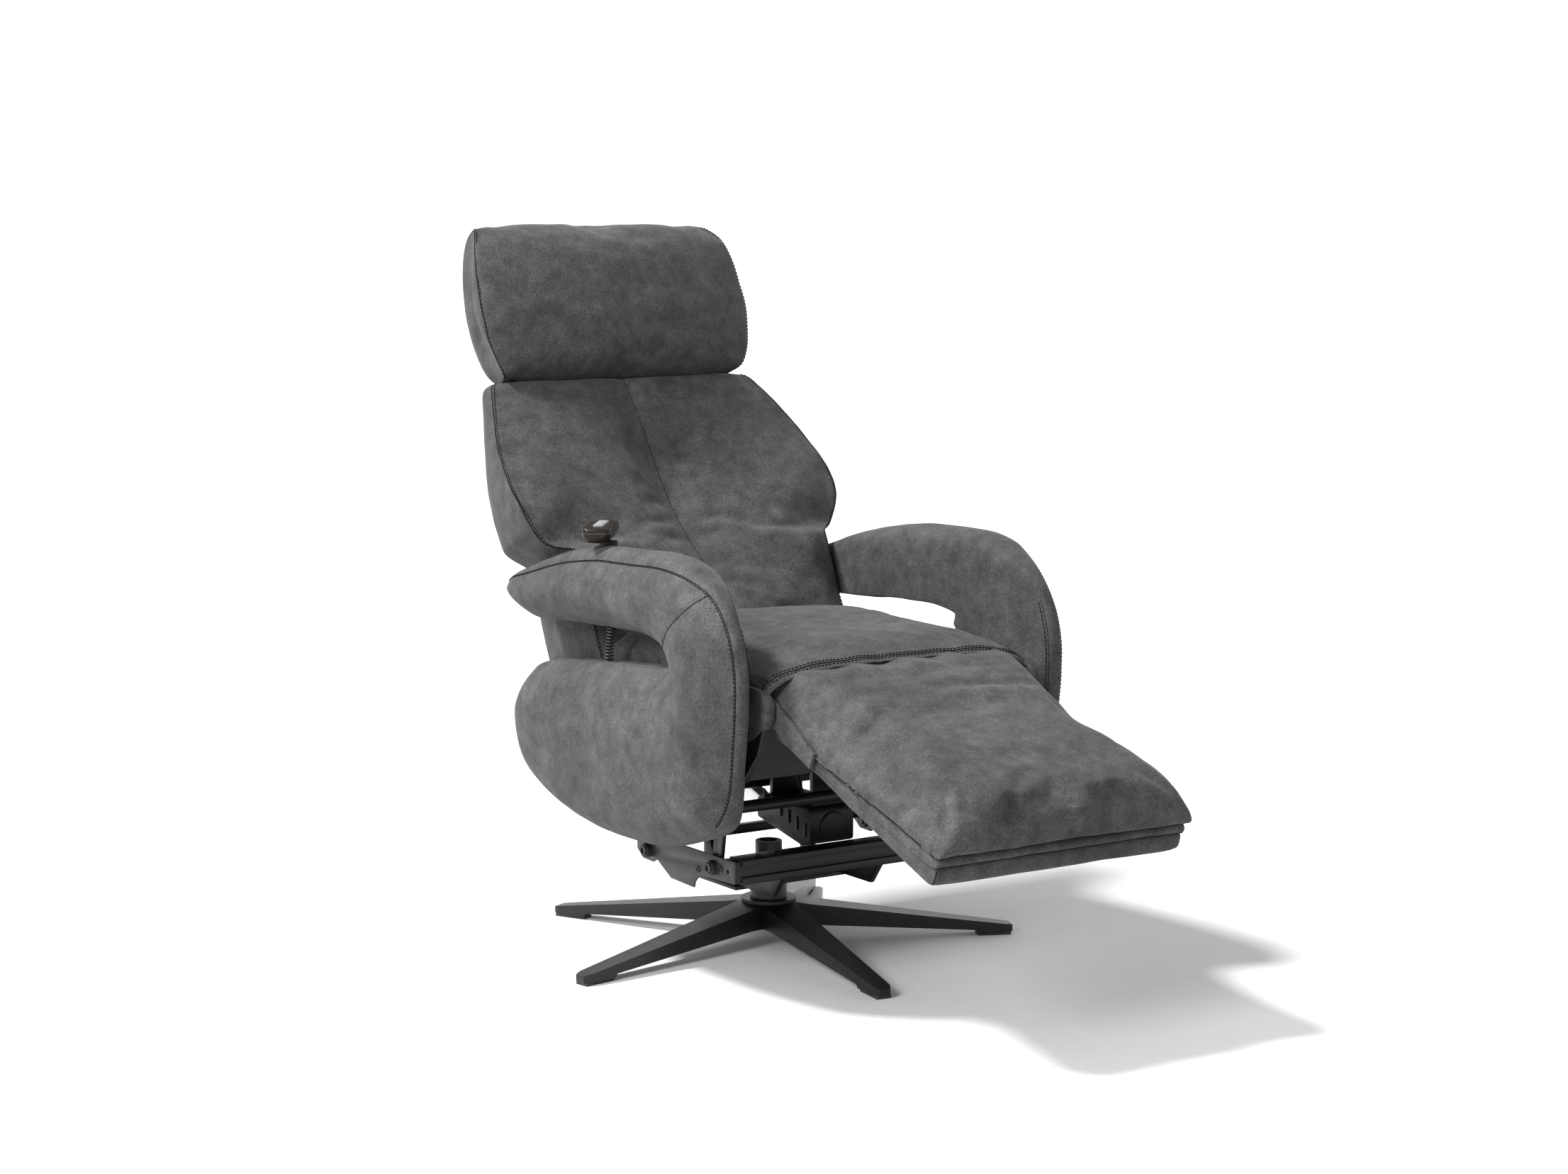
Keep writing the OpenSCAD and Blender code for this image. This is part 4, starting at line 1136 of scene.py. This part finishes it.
# folded lips of the front channel and its bolts
prism("front_channel_lip_top", [(-220, 189.5), (-184, 189.5), (-184, 187.5), (-217.5, 187.5), (-217.5, 180),
    (-220, 180)], -.188, .188, BLACK, "carriage", 0.0005)
prism("front_channel_lip_low", [(-220, 153.5), (-188, 153.5), (-188, 155.5), (-217.5, 155.5), (-217.5, 164),
    (-220, 164)], -.188, .188, BLACK, "carriage", 0.0005)
for k, x in enumerate((-.150, -.118, .118, .150)):
    bolt("channel_bolt_%d" % (k + 1), (x, -.205, .1895), (0, 0, 1), 0.0055, "carriage", 0.0026)
for k in range(4):
    cyl("column_collar_%d" % (k + 1), (0, 0, .1110 + .006 * k), (0, 0, .1145 + .006 * k), .0265 - .001 * (k % 2), BLACK,
        "carriage", 48, 0.0008)
# ribs and end cap on the backrest motor's housing
for k in range(6):
    y = -.136 + .022 * k
    up = 186 + 0.319 * (y + .146) * 1000
    prism("back_motor_rib_%d" % (k + 1), [(y * 1000, up), (y * 1000 + 4, up + 1), (y * 1000 + 4, up + 21),
        (y * 1000, up + 20)], -.0245, -.0215, PLASTIC, "seat", 0.0006)
cyl("back_motor_cap", (.018, -.149, .204), (.018, -.1455, .204), .022, PLASTIC, "seat", 48, 0.0015)
# a cable from the control box along the frame to the motor
cable = catmull(np.array([(-.110, .042, .325), (-.112, .020, .312), (-.090, -.030, .300), (-.050, -.070, .296),
    (-.010, -.085, .280), (.006, -.080, .252), (.010, -.078, .232)]), 0.004, closed=False)
co_ = tube("motor_cable", cable, 0.0028, PLASTIC, sides=10)
dress(co_, "seat")

# -------------------------------------------------------------------- handset
ch, sh = math.cos(math.radians(-38)), math.sin(math.radians(-38))


def HD(x, y, z):
    return (-0.270 + x * ch - y * sh, 0.036 + x * sh + y * ch, 0.634 + z)


def hand_ring(inset, n=56):
    """Outline of the handset, wider at its near end."""
    out = []
    for k in range(n):
        t = 2 * math.pi * k / n
        cx, sy = math.cos(t), math.sin(t)
        half = 0.0245 - 0.0022 * (sy + 1) - inset
        ln = 0.0605 - inset
        e = 0.36
        out.append((math.copysign(abs(cx) ** e, cx) * half, math.copysign(abs(sy) ** e, sy) * ln))
    return out


def hand_loft(name, levels, mat):
    rows = [[HD(x, y, z) for x, y in hand_ring(i)] for z, i in levels]
    verts, faces = loft(rows)
    o = add(name, verts, faces, mat)
    recalc(o)
    sharp(o, 50)
    return o


sh_o = hand_loft("handset_shell_body", [(0.0, 0.0125), (0.0010, 0.0090), (0.0040, 0.0052), (0.0080, 0.0026),
    (0.0120, 0.0010), (0.0145, 0.0005)], GLOSS)
rim = hand_loft("handset_rim_line", [(0.0144, 0.0006), (0.0145, 0.0001), (0.0155, 0.0001), (0.0156, 0.0006)], RIM)
fc = hand_loft("handset_face_body", [(0.0155, 0.0006), (0.0158, 0.0003), (0.0200, 0.0006), (0.0216, 0.0012),
    (0.0225, 0.0026), (0.0229, 0.0050), (0.0230, 0.0100)], GLOSS)
for o in (sh_o, rim, fc):
    dress(o, "seat")
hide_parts("handset_shell")
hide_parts("handset_face")
for k in range(5):
    rows = []
    for z, r, g in ((0.0205, 0.0042, 0), (0.0238, 0.0042, 0), (0.0247, 0.0038, 0), (0.0252, 0.0028, 0),
        (0.0254, 0.0014, 0)):
        ring = []
        for i in range(28):
            t = 2 * math.pi * i / 28
            ring.append(HD(math.copysign(0.004, math.cos(t)) * (1 if abs(math.cos(t)) > 1e-6 else 0) + r * math.cos(t),
                -0.028 + 0.014 * k + r * math.sin(t), z))
        rows.append(ring)
    v, f = loft(rows)
    b = add("button_%d_cap" % (k + 1), v, f, BUTTON)
    recalc(b)
    sharp(b, 50)
    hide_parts("button_%d" % (k + 1))
    dress(b, "button_%d" % (k + 1))

# ---------------------------------------------------------------- floor, light
fl = add("floor", [(-60, -60, 0), (60, -60, 0), (60, 60, 0), (-60, 60, 0)], [(0, 1, 2, 3)], None, smooth=False)
FL = material("pale_floor", (0.52, 0.52, 0.515), 0.75, spec=0.2, mottle=[(1.8, 0.012, 6), (22, 0.016, 8)],
    bump=[(60, 0.0006, 6)])
fl.data.materials.append(FL)
world = bpy.data.worlds.new("studio")
scene.world = world
world.use_nodes = True
bg = world.node_tree.nodes["Background"]
bg.inputs["Color"].default_value = (1, 1, 1, 1)
bg.inputs["Strength"].default_value = 1.0


def light(name, loc, target, size, watts, color=(1, 1, 1)):
    d = bpy.data.lights.new(name, "AREA")
    d.shape = "RECTANGLE"
    d.size, d.size_y = size
    d.energy = watts
    d.color = color
    o = bpy.data.objects.new(name, d)
    scene.collection.objects.link(o)
    o.location = loc
    o.rotation_euler = (Vector(target) - Vector(loc)).to_track_quat("-Z", "Y").to_euler()
    return o


sun = bpy.data.lights.new("key", "SUN")
sun.energy = 7.0
sun.angle = math.radians(9)
so = bpy.data.objects.new("key", sun)
scene.collection.objects.link(so)
so.rotation_euler = Vector((0.86, -0.62, -1.55)).to_track_quat("-Z", "Y").to_euler()
light("front_fill", (-3.3, -1.3, 2.3), (0, 0, 0.6), (1.3, 1.3), 170)
scene.view_settings.view_transform = "Standard"
scene.view_settings.look = "None"
